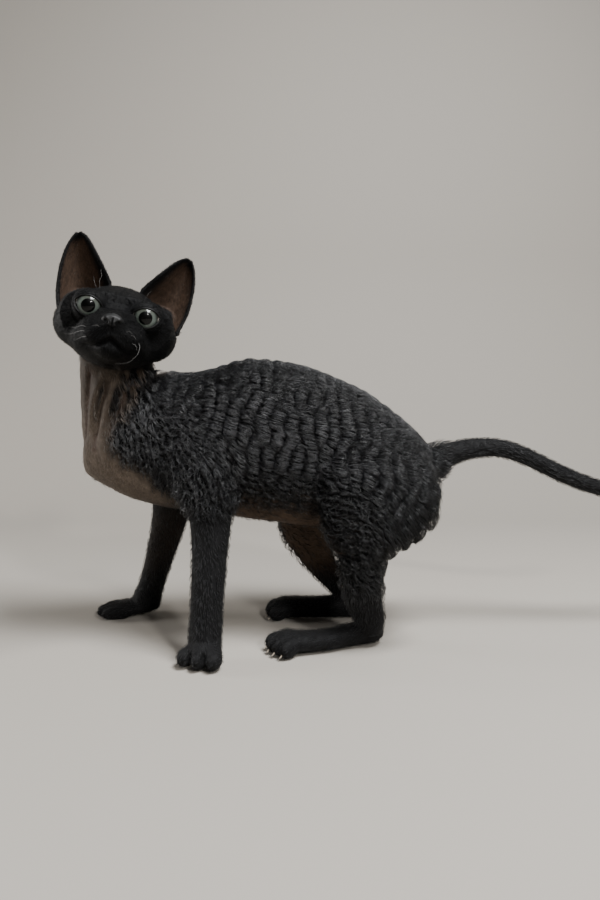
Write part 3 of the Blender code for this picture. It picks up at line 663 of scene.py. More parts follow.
def vertex_normals(obj):
    """Normals of an object's vertices as rows."""
    rows = np.empty(len(obj.data.vertices) * 3, np.float32)
    obj.data.vertex_normals.foreach_get("vector", rows)
    return rows.reshape(-1, 3).astype(float)


def set_vertices(obj, rows):
    """Move an object's vertices."""
    obj.data.vertices.foreach_set("co", np.asarray(rows, float).ravel())
    obj.data.update()


def settle(obj):
    """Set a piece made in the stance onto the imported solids."""
    obj.data.transform(Matrix.Translation(SHIFT))
    obj.data.shade_smooth()
    return obj


def paw_axes(way):
    """Unit rows along and across a paw's way."""
    way = np.array((*way, 0)) / math.hypot(*way)
    return way, np.array((-way[1], way[0], 0))


def paw_pieces(ankle, way, half_width, length, toes):
    """The ball of a paw and its toes, parted a little."""
    way = Vector((*way, 0)).normalized()
    side = Vector((-way.y, way.x, 0))
    turn = math.atan2(way.y, way.x)
    ankle = Vector(ankle)
    coat = bpy.context.scene.cat_form.leg_coat
    radius = min(TOE_RADIUS, ankle.z * 0.76)
    ball = (length * 0.85 - coat, half_width * 0.92 - coat, ankle.z * 0.93 - coat)
    pieces = [ellipsoid(ankle + way * (length * 0.22), ball, turn=turn)]
    broad = 1.2 / len(toes)
    for sideways, back in toes:
        place = ankle + way * (length * (0.72 + back)) + side * (half_width * sideways * 1.04)
        place.z = radius
        radii = (length * 0.3 + 4.3 - coat, half_width * broad - coat * 0.5, radius - coat * 0.4)
        pieces.append(ellipsoid(place, radii, turn=turn + 0.12 * sideways))
        knuckle = place - way * (length * 0.2 + 1.5)
        knuckle.z = radius * 1.25
        small = (length * 0.22 + 2.4, half_width * 0.25 - coat * 0.4, radius * 0.66)
        pieces.append(ellipsoid(knuckle, small, turn=turn + 0.12 * sideways))
    return pieces


def toe_gaps(points):
    """How deep each point lies in a gap between two toes, from 0 to 1."""
    deep = np.zeros(len(points))
    for ankle, way, half_width, length, toes in PAWS.values():
        way, side = paw_axes(way)
        for (left, _), (right, _) in zip(toes, toes[1:]):
            middle = np.array(ankle) + side * half_width * (left + right) * 0.52
            line = [middle + way * length * forward for forward in (1.25, 1.05, 0.8, 0.45)]
            for spot, height in zip(line, (1, 7, 12, 14.5)):
                spot[2] = height
            distance, share = along_line(points, line)
            deep = np.maximum(deep, (1 - 0.6 * share) * bell(distance, 1.5))
    return deep


def flesh_pieces():
    """The closed forms that melt together into trunk, neck, legs and tail."""
    form = bpy.context.scene.cat_form
    fore = ([60, 92], [form.leg_coat, form.trunk_coat * 0.9])
    hind = ([26, 60, 90], [form.leg_coat, 2.4, form.trunk_coat])
    foot = ([0], [form.leg_coat])
    pieces = [
        stack("X", TRUNK, ([-150, -110], [0.6, form.trunk_coat])),
        stack("Z", NECK, ([0], [0.9])),
        stack("Z", FORE_LEG_LEFT, fore),
        stack("Z", FORE_LEG_RIGHT, fore),
        stack("Z", THIGH_LEFT, hind),
        stack("Z", THIGH_RIGHT, hind),
        stack("X", HIND_FOOT_LEFT, foot),
        stack("X", HIND_FOOT_RIGHT, foot),
    ]
    tail = smooth_rows(TAIL, 5)
    tail[:, 3] -= np.interp(tail[:, 0], [90, 125, 300], [3.2, form.tail_coat, 0.6])
    pieces.append(rings_mesh("flesh", tube_rings(tail)))
    for row in PAWS.values():
        pieces += paw_pieces(*row)
    pieces += [ellipsoid(centre, radii, HEAD) for centre, radii in head_masses()]
    return pieces + [ear_sheet(sign) for _, sign in SIDES]


def head_masses():
    """Centres and radii of all masses of the head under the coat."""
    coat = bpy.context.scene.cat_form.head_coat
    found = []
    for name, (centre, radii) in HEAD_MASSES.items():
        for sign in (1, -1) if name.endswith("_left") else (1,):
            found.append((np.array(centre) * (1, sign, 1), np.array(radii) - coat))
    return found


def head_field(local):
    """Distance outside the melted masses of the head, and its direction, in the head's frame."""
    depths = []
    slopes = []
    for centre, radii in head_masses():
        part = (local - centre) / radii
        reach = np.linalg.norm(part, axis=1) + 1e-6
        slope = part / radii
        steep = np.linalg.norm(slope, axis=1) + 1e-6
        depths.append(reach * (reach - 1) / steep)
        slopes.append(slope / steep[:, None])
    depths = np.array(depths)
    least = depths.min(axis=0)
    shares = np.exp((least - depths) / MELT)
    total = shares.sum(axis=0)
    way = (shares[..., None] * np.array(slopes)).sum(axis=0) / total[:, None]
    return least - MELT * np.log(total) + 0.35 * MELT, way


def melt_head(points):
    """Draw the skin of the head onto its masses, melted together."""
    local = in_head(points)
    near = np.linalg.norm((local + (22, 0, 2)) / (50, 50, 42), axis=1) < 1
    head = local[near]
    outside, _ = head_field(head)
    weight = smooth_step(3.0, 0.6, outside)
    for _ in range(6):
        outside, way = head_field(head)
        length = np.sum(way * way, axis=1) + 0.05
        head = head - way * (np.clip(outside, -2, 2) * weight / length)[:, None]
    points[near] = placed(head, HEAD)
    return points


def ear_tree(sign):
    """A search tree of one ear's middle sheet, with its grid's shape."""
    grid = ear_grid(sign, 5, 30)
    rows, columns = grid.shape[:2]
    spots = placed(grid.reshape(-1, 3), HEAD)
    quads = [
        (r * columns + c, r * columns + c + 1, (r + 1) * columns + c + 1, (r + 1) * columns + c)
        for r in range(rows - 1) for c in range(columns - 1)
    ]
    return BVHTree.FromPolygons([Vector(spot) for spot in spots], quads), rows, columns


def shape_ears(points):
    """Draw the skin of the ears onto smooth thin sheets with rounded rims."""
    near = np.flatnonzero((points[:, 2] > 236) & (points[:, 0] < -60))
    outside, _ = head_field(in_head(points[near]))
    for _, sign in SIDES:
        tree, rows, columns = ear_tree(sign)
        for index, clear in zip(near, outside):
            spot = Vector(points[index])
            place, _, face, distance = tree.find_nearest(spot)
            if distance > 5 or distance < 1e-6:
                continue
            height = face // (columns - 1) / (rows - 1)
            half = 1.15 - 0.4 * height ** 0.7
            weight = float(smooth_step(1.0, 4.0, clear) * smooth_step(5.0, 3.0, distance))
            new = place + (spot - place) / distance * half
            points[index] = spot.lerp(new, weight)
    return points


def ear_grid(sign, steps=6, columns=26):
    """Middle of one ear's sheet as rows and columns of points in the head's frame."""
    inner = smooth_rows(EAR_INNER_EDGE, steps)
    outer = smooth_rows(EAR_OUTER_EDGE, steps)
    depth = smooth_rows([(value,) for value in EAR_CUP_DEPTH], steps)[:, 0]
    across = np.linspace(0, 1, columns)[None, :, None]
    grid = inner[:, None] * (1 - across) + outer[:, None] * across
    grid[..., 0] -= depth[:, None] * (4 * across * (1 - across))[..., 0]
    return grid * np.array([1, sign, 1])


def ear_rim(sign):
    """A smooth rounded rim along one ear's edges, from root over tip to root."""
    grid = ear_grid(sign, 8)
    path = np.vstack([grid[:, 0], grid[-1, 1:-1], grid[::-1, -1]])
    share = np.abs(np.linspace(-1, 1, len(path)))
    rows = np.column_stack([placed(path, HEAD), 0.74 - 0.6 * smooth_step(0.72, 1.0, share)])
    for _ in range(6):
        rows[1:-1] = (rows[:-2] + 2 * rows[1:-1] + rows[2:]) / 4
    return rings_mesh("ear_rim", tube_rings(rows, 12))


def ear_sheet(sign):
    """One cupped ear, thick at its root and thin at its rim."""
    grid = ear_grid(sign)
    normals = np.cross(np.gradient(grid, axis=0), np.gradient(grid, axis=1))
    normals /= np.linalg.norm(normals, axis=2)[..., None]
    across = np.linspace(0, 1, grid.shape[1])[None, :]
    rim = np.minimum(1, 3 * np.minimum(across, 1 - across) + 0.3)
    height = np.linspace(1, 0, len(grid))[:, None] ** 0.8
    half = 0.85 + 0.45 * rim * height
    front = grid + normals * half[..., None]
    back = grid - normals * half[..., None]
    rings = np.concatenate([front, back[:, ::-1]], axis=1)
    return rings_mesh("ear", placed_rings(rings, HEAD))


def along_line(points, line):
    """Distance of each point from a line of points, and how far along the nearest place is."""
    line = np.asarray(line, float)
    best = np.full(len(points), 1e9)
    share = np.zeros(len(points))
    for index, (start, end) in enumerate(zip(line, line[1:])):
        step = end - start
        t = np.clip((points - start) @ step / step.dot(step), 0, 1)
        distance = np.linalg.norm(points - start - t[:, None] * step, axis=1)
        nearer = distance < best
        best[nearer] = distance[nearer]
        share[nearer] = (index + t[nearer]) / (len(line) - 1)
    return best, share


def opening_width(sign, sideways):
    """Half width of the lids' opening on one side, wider at the left eye's inner corner."""
    return OPENING_WIDTH + INNER_CORNER * ((sideways < 0) & (sign > 0))


def opening_reach(sign, sideways, upward):
    """How far out a place lies from the middle of the lids' opening: 1 on its edge."""
    height = np.where(upward > 0, OPENING_ABOVE, OPENING_BELOW)
    width = opening_width(sign, sideways)
    return np.sqrt((sideways / width) ** 2 + (np.abs(upward) / height) ** 1.6)


def shape_lids(points):
    """Draw the skin onto the balls of the eyes as lids, with a socket between them."""
    for _, sign in SIDES:
        matrix = eye_matrix(sign)
        local = placed(points, matrix.inverted())
        radius = np.linalg.norm(local, axis=1)
        near = (radius < 22) & (local[:, 0] > 0.12 * radius)
        way = local[near] / radius[near][:, None]
        reach = opening_reach(sign, way[:, 1] * GLOBE_RADIUS, way[:, 2] * GLOBE_RADIUS)
        old = radius[near]
        edge = GLOBE_RADIUS + 0.25 + LID_HEIGHT * smooth_step(0.98, 1.2, reach)
        crease = 0.55 * bell(reach - 1.62, 0.1) * (way[:, 2] > -0.1)
        new = blend(edge - crease, smooth_step(1.3, 2.15, reach), old)
        new = blend(new, smooth_step(1.02, 0.9, reach), GLOBE_RADIUS - SOCKET_DEPTH)
        local[near] = way * new[:, None]
        local = clear_bridge(local, sign)
        points = placed(local, matrix)
    return points


def clear_bridge(local, sign):
    """Narrow the bridge of the nose and the muzzle where they would stand before the eye."""
    ahead = local[:, 0] - GLOBE_RADIUS - 1.0
    slope = -sign * 0.045
    y, z = local[:, 1] - slope * ahead, local[:, 2]
    reach = opening_reach(sign, y, z)
    near = (ahead > 0) & (ahead < 32) & (reach < BRIDGE_REACH)
    wider = (BRIDGE_REACH / np.maximum(reach[near], 0.7) - 1) * smooth_step(0, 3, ahead[near])
    local[near, 1] += y[near] * wider
    local[near, 2] += z[near] * wider
    return local


def shape_face(points, normals):
    """Raise and sink the skin of the face along its named lines."""
    local = in_head(points)
    near = (np.linalg.norm(local, axis=1) < 70) & (local[:, 0] > -60)
    head = local[near]
    push = np.zeros(len(head))
    mirror = np.array([1, -1, 1])
    whole = np.vstack([(np.array(MOUTH_LINE) * mirror)[:0:-1], MOUTH_LINE])
    flat = np.array([0.25, 1, 1])
    distance, share = along_line(head * flat, smooth_rows(whole * flat, 4))
    fade = 1 - 0.65 * np.abs(2 * share - 1) ** 2
    push -= MOUTH_DEPTH * fade * bell(distance, MOUTH_WIDTH)
    _, sideways, height = np.array(MOUTH_LINE).T
    below = head[:, 2] < np.interp(np.abs(head[:, 1]), sideways, height)
    push += fade * bell(distance - 2.6, 1.5) * np.where(below, 0.5, 1.0)
    distance, _ = along_line(head * flat, np.array(PHILTRUM) * flat)
    push -= 0.9 * bell(distance, 0.8)
    for sign in (1, -1):
        side = head * np.array([1, sign, 1])
        for height, width, line in FACE_LINES:
            push += height * bell(along_line(side, line)[0], width)
        for row, height in enumerate(WHISKER_ROWS):
            for column in range(4):
                dot = np.array([9 - 2.7 * column, 8.3 + 2.1 * column - 0.3 * row, height])
                push -= 0.22 * bell(np.linalg.norm(side - dot, axis=1), 0.75)
    push += 0.18 * soft_noise(head, 4.0, 5)
    points[near] += normals[near] * push[:, None]
    return points


def shape_throat(points, normals):
    """Long soft folds down the bare throat and chest."""
    x, y, z = points.T
    bare = smooth_step(6, -6, x - np.interp(z, EDGE_HEIGHTS, EDGE_X)) * smooth_step(88, 100, z)
    bare *= smooth_step(206, 192, z)
    angle = np.arctan2(y + 8, -(x + 108))
    phase = angle * 15 + 1.3 * soft_noise(points * (1, 1, 0.3), 16, 7) + (z - 150) * 0.035
    fold = np.abs(np.sin(phase)) ** 0.7 - 0.6
    depth = 1.2 + 0.7 * soft_noise(points, 30, 8)
    push = bare * (0.4 * fold * depth * smooth_step(110, 150, z) + 0.25 * soft_noise(points, 5, 9))
    for height, width, line in THROAT_FOLDS:
        distance, share = along_line(points * (1, 1, 0.9), smooth_rows(line, 4) * (1, 1, 0.9))
        push += height * bell(distance, width) * smooth_step(1.0, 0.8, share) * smooth_step(0, 0.08, share)
    return points + normals * (push * (z < 206))[:, None]


class Places:
    """Where rows of points lie on the cat, as weights from 0 to 1."""

    def __init__(self, points, normals):
        self.points = points
        self.normals = normals
        self.head_local = in_head(points)
        self.ear, self.cup, self.across, self.height = ear_weights(points, normals)
        clear = self.weigh_head()
        self.weigh_limbs()
        self.weigh_throat(clear)
        self.weigh_belly()
        self.weigh_curls()

    def weigh_head(self):
        """Head and ears. The answer is how far outside the head's masses each point lies."""
        forward, left, up = self.head_local.T
        egg = ((forward + 22) / 48) ** 2 + (left / 48) ** 2 + ((up + 2) / 38) ** 2
        clear = np.full(len(egg), 9.0)
        clear[egg < 1.3] = head_field(self.head_local[egg < 1.3])[0]
        jaw = 1 - smooth_step(-14, -24, up) * smooth_step(2, 5, clear)
        self.head = np.maximum(smooth_step(1.12, 0.92, egg) * jaw, self.ear)
        self.head = np.maximum(self.head, smooth_step(226, 234, self.points[:, 2]))
        return clear

    def weigh_limbs(self):
        """Legs, feet, gaps of the toes, thigh, the back of the thigh, and tail."""
        x, _, z = self.points.T
        self.tail = smooth_step(98, 112, x)
        self.foot = smooth_step(26, 14, z) * (1 - self.tail)
        self.gap = toe_gaps(self.points)
        self.fore = smooth_step(110, 90, z) * (x < -30)
        self.rear = smooth_step(72, 92, x) * smooth_step(150, 125, z) * (1 - self.tail)
        self.hind = smooth_step(60, 34, z) * (x >= -30) * (1 - self.tail)
        self.thigh = smooth_step(40, 62, x) * smooth_step(165, 140, z) * (1 - self.tail) * (1 - self.hind)

    def weigh_throat(self, clear):
        """The bare throat and its pale skin, with fur on the nape and the far side."""
        x, _, z = self.points.T
        ragged = 5 * soft_noise(self.points, 14, 21) + 3 * soft_noise(self.points, 5, 22)
        front = x - np.interp(z, EDGE_HEIGHTS, EDGE_X) + ragged
        backward, rightward, _ = self.normals.T
        nape = smooth_step(0.3, 0.7, backward) * smooth_step(140, 165, z)
        far = smooth_step(0.1, 0.5, rightward) * smooth_step(-0.88, -0.55, backward)
        bare = (1 - nape) * (1 - far)
        self.throat = smooth_step(8, -8, front) * smooth_step(84, 96, z) * (1 - self.head) * bare
        self.pale = smooth_step(8, -10, front) * smooth_step(94, 106, z) * smooth_step(0.4, 2.5, clear)
        self.pale *= smooth_step(222, 210, z) * bare

    def weigh_belly(self):
        """The thinly haired belly and the insides of the legs."""
        x, y, z = self.points.T
        _, sideways, upward = self.normals.T
        inward = np.where(y > np.where(x < -30, 8, 12), -sideways, sideways)
        under = smooth_step(0.3, 0.85, -upward) * smooth_step(118, 104, z) * (z > 70) * (x < 62)
        inner = smooth_step(0.1, 0.7, inward) * smooth_step(110, 96, z) * smooth_step(30, 52, z)
        inner *= np.where(x < -30, 0.15, 0.9)
        self.belly = np.clip(under + inner, 0, 1) * (1 - self.tail) * (1 - self.throat)

    def weigh_curls(self):
        """The long coat, and the tight curls of shoulder and lower flank in it."""
        x, _, z = self.points.T
        self.curly = (1 - self.head) * (1 - self.throat) * (1 - self.belly)
        self.curly *= (1 - self.fore) * (1 - self.hind) * (1 - self.tail)
        tight = smooth_step(136, 112, z + 0.12 * (x + 60)) * smooth_step(60, 30, x)
        self.tight = np.maximum(tight, smooth_step(-58, -80, x) * smooth_step(185, 160, z))


def ear_weights(points, normals):
    """How far each point belongs to an ear, lies inside its cup, and its place across and up it."""
    ear, cup, across, height = np.zeros((4, len(points)))
    near = np.flatnonzero((points[:, 2] > 225) & (points[:, 0] < -60))
    for _, sign in SIDES:
        tree, rows, columns = ear_tree(sign)
        forward = HEAD.to_3x3() @ Vector((1, -0.35 * sign, 0))
        for index in near:
            _, normal, face, distance = tree.find_nearest(Vector(points[index]))
            if distance > 6:
                continue
            if normal.dot(forward) < 0:
                normal = -normal
            weight = float(smooth_step(4.2, 1.8, distance))
            if weight > ear[index]:
                ear[index] = weight
                cup[index] = 1.0 if Vector(normals[index]).dot(normal) > 0 else 0.0
                across[index] = (face % (columns - 1) + 0.5) / (columns - 1)
                height[index] = (face // (columns - 1) + 0.5) / (rows - 1)
    return ear, cup, across, height


def ripples(points, length, spread, seed):
    """Sum of waves that cross at small angles, so that their ridges branch and end."""
    random = np.random.default_rng(seed)
    total = 0
    for share in np.linspace(-1, 1, CROSSING_WAVES):
        tilt = -0.2 + spread * share
        swerve = random.uniform(-0.6, 0.6) * spread
        way = np.array((math.cos(tilt), swerve, math.sin(tilt)))
        pitch = length * random.uniform(0.85, 1.2)
        total = total + np.cos(2 * np.pi * (points @ way) / pitch + random.uniform(0, 6.3))
    return total / math.sqrt(CROSSING_WAVES / 2)


def waves(places):
    """Relief of the coat, from -1 in the valleys to 1 on the crests of its waves."""
    points, tight = places.points, places.tight
    bend = noise_rows(points, 17, 31)
    crest = ripples(points + 1.6 * bend, WAVE_LENGTH, 0.42, 34)
    curl = ripples(points + 1.2 * bend, CURL_LENGTH, 1.5, 35)
    relief = crest * (1 - tight) + curl * tight
    leg = np.clip(places.fore + places.hind, 0, 1)
    relief = relief * (1 - leg) + leg * ripples(points[:, ::-1] + bend, LEG_WAVE_LENGTH, 0.7, 37)
    relief = 1 - 2 * np.exp(-0.85 * np.maximum(relief + 0.9, 0) ** 1.2)
    x, z = points[:, 0], points[:, 2]
    thigh = smooth_step(45, 75, x) * smooth_step(170, 140, z)
    spine = smooth_step(0.35, 0.85, places.normals[:, 2])
    patch = np.clip(0.95 + 0.5 * soft_noise(points, 20, 36), 0.4, 1.25)
    return relief * patch * (1 - 0.8 * spine) * (1 - 0.5 * thigh)


def lie(places):
    """Way in which the coat lies, along the surface."""
    points, normals = places.points, places.normals
    way = np.tile(np.array(TRUNK_WAY), (len(points), 1))
    x, y, z = points.T

    def lean(weight, target):
        nonlocal way
        way = blend(way, weight, target)

    lean(smooth_step(-84, -112, x), (0.35, 0, -0.94))
    lean(smooth_step(-30, -60, x) * smooth_step(165, 120, z), (0.25, 0, -0.97))
    lean(smooth_step(30, 60, x) * smooth_step(140, 90, z), (0.55, 0, -0.83))
    lean(places.fore, (0.12, 0, -1))
    lean(places.hind, (0.1, 0, -1))
    lean(smooth_step(20, 12, z) * (x > -60), (-0.95, -0.2, -0.25))
    lean(smooth_step(14, 8, z) * (x < -50) * (y < 0), (-0.3, -0.95, -0.2))
    lean(smooth_step(14, 8, z) * (x < -80) * (y > 0), (-0.95, -0.2, -0.2))
    rise = np.interp(x, [100, 140, 170, 300], [0.5, 0, -0.5, 0.1])
    lean(places.tail, np.column_stack([np.ones(len(x)), 0 * x, rise]))
    lean(places.throat, (0.05, 0, -1))
    turn = np.array(HEAD.to_3x3())
    away = places.head_local - np.array(NOSE)
    away /= np.linalg.norm(away, axis=1)[:, None] + 1e-9
    lean(places.head, away @ turn.T)
    lean(places.ear, turn @ np.array((0, 0.25, 1)))
    way += 0.22 * noise_rows(points, 11, 41)
    way += 0.7 * noise_rows(points, 5, 44) * (places.tight * places.curly)[:, None]
    way -= normals * np.sum(way * normals, axis=1)[:, None]
    return way / (np.linalg.norm(way, axis=1)[:, None] + 1e-9)


def coat_depth(places):
    """Height of the coat's outer tufts above the skin, in millimetres."""
    form = bpy.context.scene.cat_form
    depth = np.full(len(places.points), form.trunk_coat + 0.2)
    for weight, value in (
        (places.fore, form.leg_coat), (places.hind, form.leg_coat * 1.6),
        (places.foot, form.leg_coat * 0.9), (places.tail, form.tail_coat),
        (places.belly, 0.8), (places.throat, 0.5), (places.head, form.head_coat),
    ):
        depth = blend(depth, weight, value)
    return depth


def add_smoothing(obj, rounds, group=""):
    """Add rounds of smoothing, all over or within a group of vertices."""
    soften = obj.modifiers.new("Soften", "SMOOTH")
    soften.factor = 0.5
    soften.iterations = rounds
    soften.vertex_group = group


def melt_skin(skin):
    """Draw head and ears onto their forms, and smooth the head's masses into each other."""
    points = shape_ears(melt_head(vertex_rows(skin) / MM))
    set_vertices(skin, points * MM)
    melt = skin.vertex_groups.new(name="melt")
    places = Places(points, vertex_normals(skin))
    weights = (places.head * (1 - places.ear)).round(1)
    for weight in np.unique(weights)[1:]:
        melt.add(np.flatnonzero(weights == weight).tolist(), float(weight), "REPLACE")
    add_smoothing(skin, bpy.context.scene.cat_form.melt, "melt")
    apply_modifiers(skin)
    skin.vertex_groups.clear()


def carve_skin(skin):
    """Shape throat, toes, face and lids, and raise the skin under the waves of the coat."""
    points = vertex_rows(skin) / MM
    normals = vertex_normals(skin)
    points = shape_throat(points, normals)
    points = points - normals * (TOE_GAP_DEPTH * toe_gaps(points))[:, None]
    points = shape_face(points, normals)
    points = shape_lids(points)
    places = Places(points, normals)
    points += normals * (places.curly * waves(places) * WAVE_HEIGHT * 0.6)[:, None]
    points[:, 2] = np.maximum(points[:, 2], FLOOR_LEVEL + 0.05)
    set_vertices(skin, points * MM)


def thin_skin(skin):
    """Take triangles from the skin below the coat, but none from head, throat and chest."""
    points = vertex_rows(skin) / MM
    spare = skin.vertex_groups.new(name="plain")
    fine = (points[:, 2] > 192) | ((points[:, 0] < -112) & (points[:, 2] > 110))
    spare.add(np.flatnonzero(~fine).tolist(), 1.0, "REPLACE")
    skin.data.calc_loop_triangles()
    thin = skin.modifiers.new("Thin out", "DECIMATE")
    thin.ratio = min(1.0, bpy.context.scene.cat_form.skin_triangles / len(skin.data.loop_triangles))
    thin.vertex_group = "plain"
    thin.use_collapse_triangulate = True
    apply_modifiers(skin)
    skin.vertex_groups.clear()


def make_skin():
    """One skin over head, ears, trunk, legs and tail."""
    skin = join("skin", flesh_pieces())
    fuse = skin.modifiers.new("Fuse", "REMESH")
    fuse.mode = "VOXEL"
    fuse.voxel_size = bpy.context.scene.cat_form.voxel * MM
    add_smoothing(skin, 5)
    apply_modifiers(skin)
    melt_skin(skin)
    carve_skin(skin)
    thin_skin(skin)
    skin = join("skin", [skin] + [ear_rim(sign) for _, sign in SIDES])
    places = Places(vertex_rows(skin) / MM, vertex_normals(skin))
    add_attribute(skin.data, "hue", "FLOAT_COLOR", hues(places))
    across, along = combing(places)
    add_attribute(skin.data, "across", "FLOAT_VECTOR", across)
    add_attribute(skin.data, "along", "FLOAT", along)
    return settle(skin)


def add_attribute(mesh, name, kind, values):
    """Store one value for each vertex."""
    layer = mesh.attributes.new(name, kind, "POINT")
    key = {"FLOAT": "value", "FLOAT_VECTOR": "vector", "FLOAT_COLOR": "color"}[kind]
    values = np.asarray(values, np.float32)
    if kind == "FLOAT_COLOR":
        values = np.column_stack([values, np.ones(len(values), np.float32)])
    layer.data.foreach_set(key, values.ravel())


def hues(places):
    """Colours of skin and coat alike at rows of places, with painted shade in the throat's hollows, the toe
    gaps and the unlit face, and painted light in the right ear.
    """
    look = bpy.context.scene.cat_colours
    z = places.points[:, 2]
    mottle = 0.5 + 0.5 * soft_noise(places.points, 9, 51)
    colour = np.tile(np.array(look.coat), (len(z), 1))

    def tint(weight, target):
        nonlocal colour
        colour = blend(colour, np.clip(weight, 0, 1), target)

    tint(places.belly * (0.75 + 0.25 * mottle), look.belly)
    tint(places.pale * (0.75 + 0.25 * mottle), look.throat)
    # Warmer skin and painted shade in the hollows between the throat's cords.
    hollow = np.zeros(len(z))
    for height, width, line in THROAT_FOLDS:
        distance, _ = along_line(places.points, line)
        hollow += np.sign(-height) * bell(distance, width * 1.2)
    tint(np.clip(hollow, 0, 1) * 0.6 * places.throat, look.flush)
    tint(smooth_step(150, 195, z) * 0.4 * places.pale, BLACK)
    # Painted shade in the gaps between the toes.
    tint(places.gap * 0.8, BLACK)
    forward, left, up = places.head_local.T
    fur = places.head * (1 - places.pale)
    tint(fur * 0.55, BLACK)
    lit = smooth_step(-6, 8, up) + smooth_step(20, 36, left) * 0.8
    tint(fur * (1 - np.clip(lit, 0, 1)) * 0.5, BLACK)
    under_jaw = smooth_step(-24, -36, up) * smooth_step(10, -6, forward) * places.head
    tint(under_jaw * 0.06, look.throat)
    inner_band = smooth_step(0.04, 0.16, places.across)
    outer_band = smooth_step(0.99, 0.93, places.across) * smooth_step(0.95, 0.8, places.height)
    bare = places.ear * places.cup * inner_band * outer_band
    # The inside of the cat's right ear is painted paler towards its inner edge: painted light where its cup
    # lies in shade.
    pale = 1 + 0.45 * smooth_step(0.75, 0.3, places.across) * (left < 0)
    tint(bare * (0.75 + 0.25 * mottle), pale[:, None] * np.array(look.ear))
    return colour


def combing(places):
    """Places across the lie of the short fur, and how far along it each point is."""
    x, y, z = places.points.T
    flat = 0 * x
    across = np.column_stack([flat, y, z])
    along = x
    upright = np.clip(places.fore + places.hind + places.pale, 0, 1)
    reach = places.head_local - np.array(NOSE)
    far = np.linalg.norm(reach, axis=1) + 1e-6
    forward, left, up = places.head_local.T
    for weight, side, way in (
        (upright, np.column_stack([x, y, flat]), z),
        (places.head, reach / far[:, None] * 34, far),
        (places.ear, np.column_stack([forward, left, flat]), up),
    ):
        across = blend(across, weight, side)
        along = blend(along, weight, way)
    return across, along


def root_samples(skin, density, seed):
    """Random roots over a skin, as points and normals, with a density for each vertex."""
    mesh = skin.data
    mesh.calc_loop_triangles()
    corners = np.empty(len(mesh.loop_triangles) * 3, np.int32)
    mesh.loop_triangles.foreach_get("vertices", corners)
    corners = corners.reshape(-1, 3)
    points = in_stance(vertex_rows(skin))
    normals = vertex_normals(skin)
    a, b, c = points[corners].transpose(1, 0, 2)
    areas = 0.5 * np.linalg.norm(np.cross(b - a, c - a), axis=1)
    wanted = areas * density[corners].mean(axis=1)
    random = np.random.default_rng(seed)
    count = int(wanted.sum())
    chosen = random.choice(len(corners), count, p=wanted / wanted.sum())
    shares = random.dirichlet((1, 1, 1), count)[..., None]
    picked = corners[chosen]
    normal = (normals[picked] * shares).sum(axis=1)
    normal /= np.linalg.norm(normal, axis=1)[:, None]
    return (points[picked] * shares).sum(axis=1), normal, random


def moved(places, points, normals):
    """The same places a step further on, with the same weights."""
    after = copy.copy(places)
    after.points = points
    after.normals = normals
    after.head_local = in_head(points)
    return after


def grow(tree, places, length, rings):
    """Paths of locks that follow the skin along the lie of the coat."""
    spots = [places.points]
    normals = [places.normals]
    ways = []
    for _ in range(rings - 1):
        here = moved(places, spots[-1], normals[-1])
        way = lie(here)
        ways.append(way)
        ahead = spots[-1] + way * (length / (rings - 1))[:, None]
        found = [tree.find_nearest(point)[:2] for point in in_model(ahead)]
        spots.append(in_stance([place for place, _ in found]))
        normals.append(np.array([normal for _, normal in found]))
    ways.append(ways[-1])
    return np.array(spots), np.array(normals), np.array(ways)


def lock_paths(tree, places, random, kind):
    """Points, facing, thickness and shade of every lock of one kind."""
    count = len(places.points)
    rings = kind["rings"]
    length = kind["length"](places) * random.uniform(0.75, 1.25, count)
    spots, normals, ways = grow(tree, places, length, rings)
    share = np.linspace(0, 1, rings)[:, None]
    level = 1 - 0.4 * random.uniform(0, 1, count) ** 2
    rise = smooth_step(0, 0.5, share) * coat_depth(places) * level
    height = rise - kind["sink"] * (1 - smooth_step(0, 0.3, share))
    relief = np.array([waves(moved(places, spot, normal)) for spot, normal in zip(spots, normals)])
    crimp = np.clip(places.curly + 0.5 * (places.fore + places.hind) * (1 - places.foot), 0, 1)
    height = height + relief * crimp * WAVE_HEIGHT * 0.75 * smooth_step(0, 0.4, share)
    curl = kind["curl"](places)
    phase = 6.3 * soft_noise(places.points, 3.6, 61) + random.uniform(-0.5, 0.5, count)
    swing = phase + 2 * np.pi * kind["turns"] * share
    side = np.cross(normals, ways)
    offset = curl * smooth_step(0, 0.5, share) * np.sin(swing)
    height = height + curl * 0.5 * smooth_step(0.1, 0.6, share) * np.cos(swing)
    height = height + kind["lift"](places) * share ** 2 * random.uniform(0, 1, count)
    height = np.maximum(height, -kind["sink"])
    paths = spots + normals * height[..., None] + side * offset[..., None]
    swell = np.interp(share[:, 0], [0, 0.3, 0.6, 0.85, 1], [0.7, 1, 0.85, 0.5, 0.07])
    width = kind["width"](places) * random.uniform(0.75, 1.25, count)
    paths[..., 2] = np.maximum(paths[..., 2], FLOOR_LEVEL + 0.3)
    return paths, normals, swell[:, None] * width, lock_shade(places, relief, crimp)


def lock_shade(places, relief, crimp):
    """How light each place of a lock is: painted highlights on the crests of the waves, painted shade in
    their valleys and in the toe gaps, painted light and shade over the coat, and clumps.
    """
    clump = 1 + 0.45 * soft_noise(places.points, 1.7, 62) + 0.25 * soft_noise(places.points, 6, 63)
    # Painted highlight on the crests of the waves and painted shade in their valleys.
    crest_light_valley_shade = 4.2 * np.clip(0.5 + 0.5 * relief, 0, 1) ** 1.6 + 0.08
    crest_light_valley_shade = (crest_light_valley_shade - 1) * (crimp * (1 - 0.45 * places.tight) * (1 - 0.3 * places.fore)) + 1
    combed = soft_noise(places.points * (1, 1, 0.4), 1.8, 64)
    clump = clump + 0.6 * (places.fore + places.hind) * combed
    # Painted shade in the gaps between the toes darkens the locks there.
    return np.clip(crest_light_valley_shade, 0.06, 5) * np.clip(clump, 0.25, 2) * painted_light_gain(places) * (1 - 0.85 * places.gap)


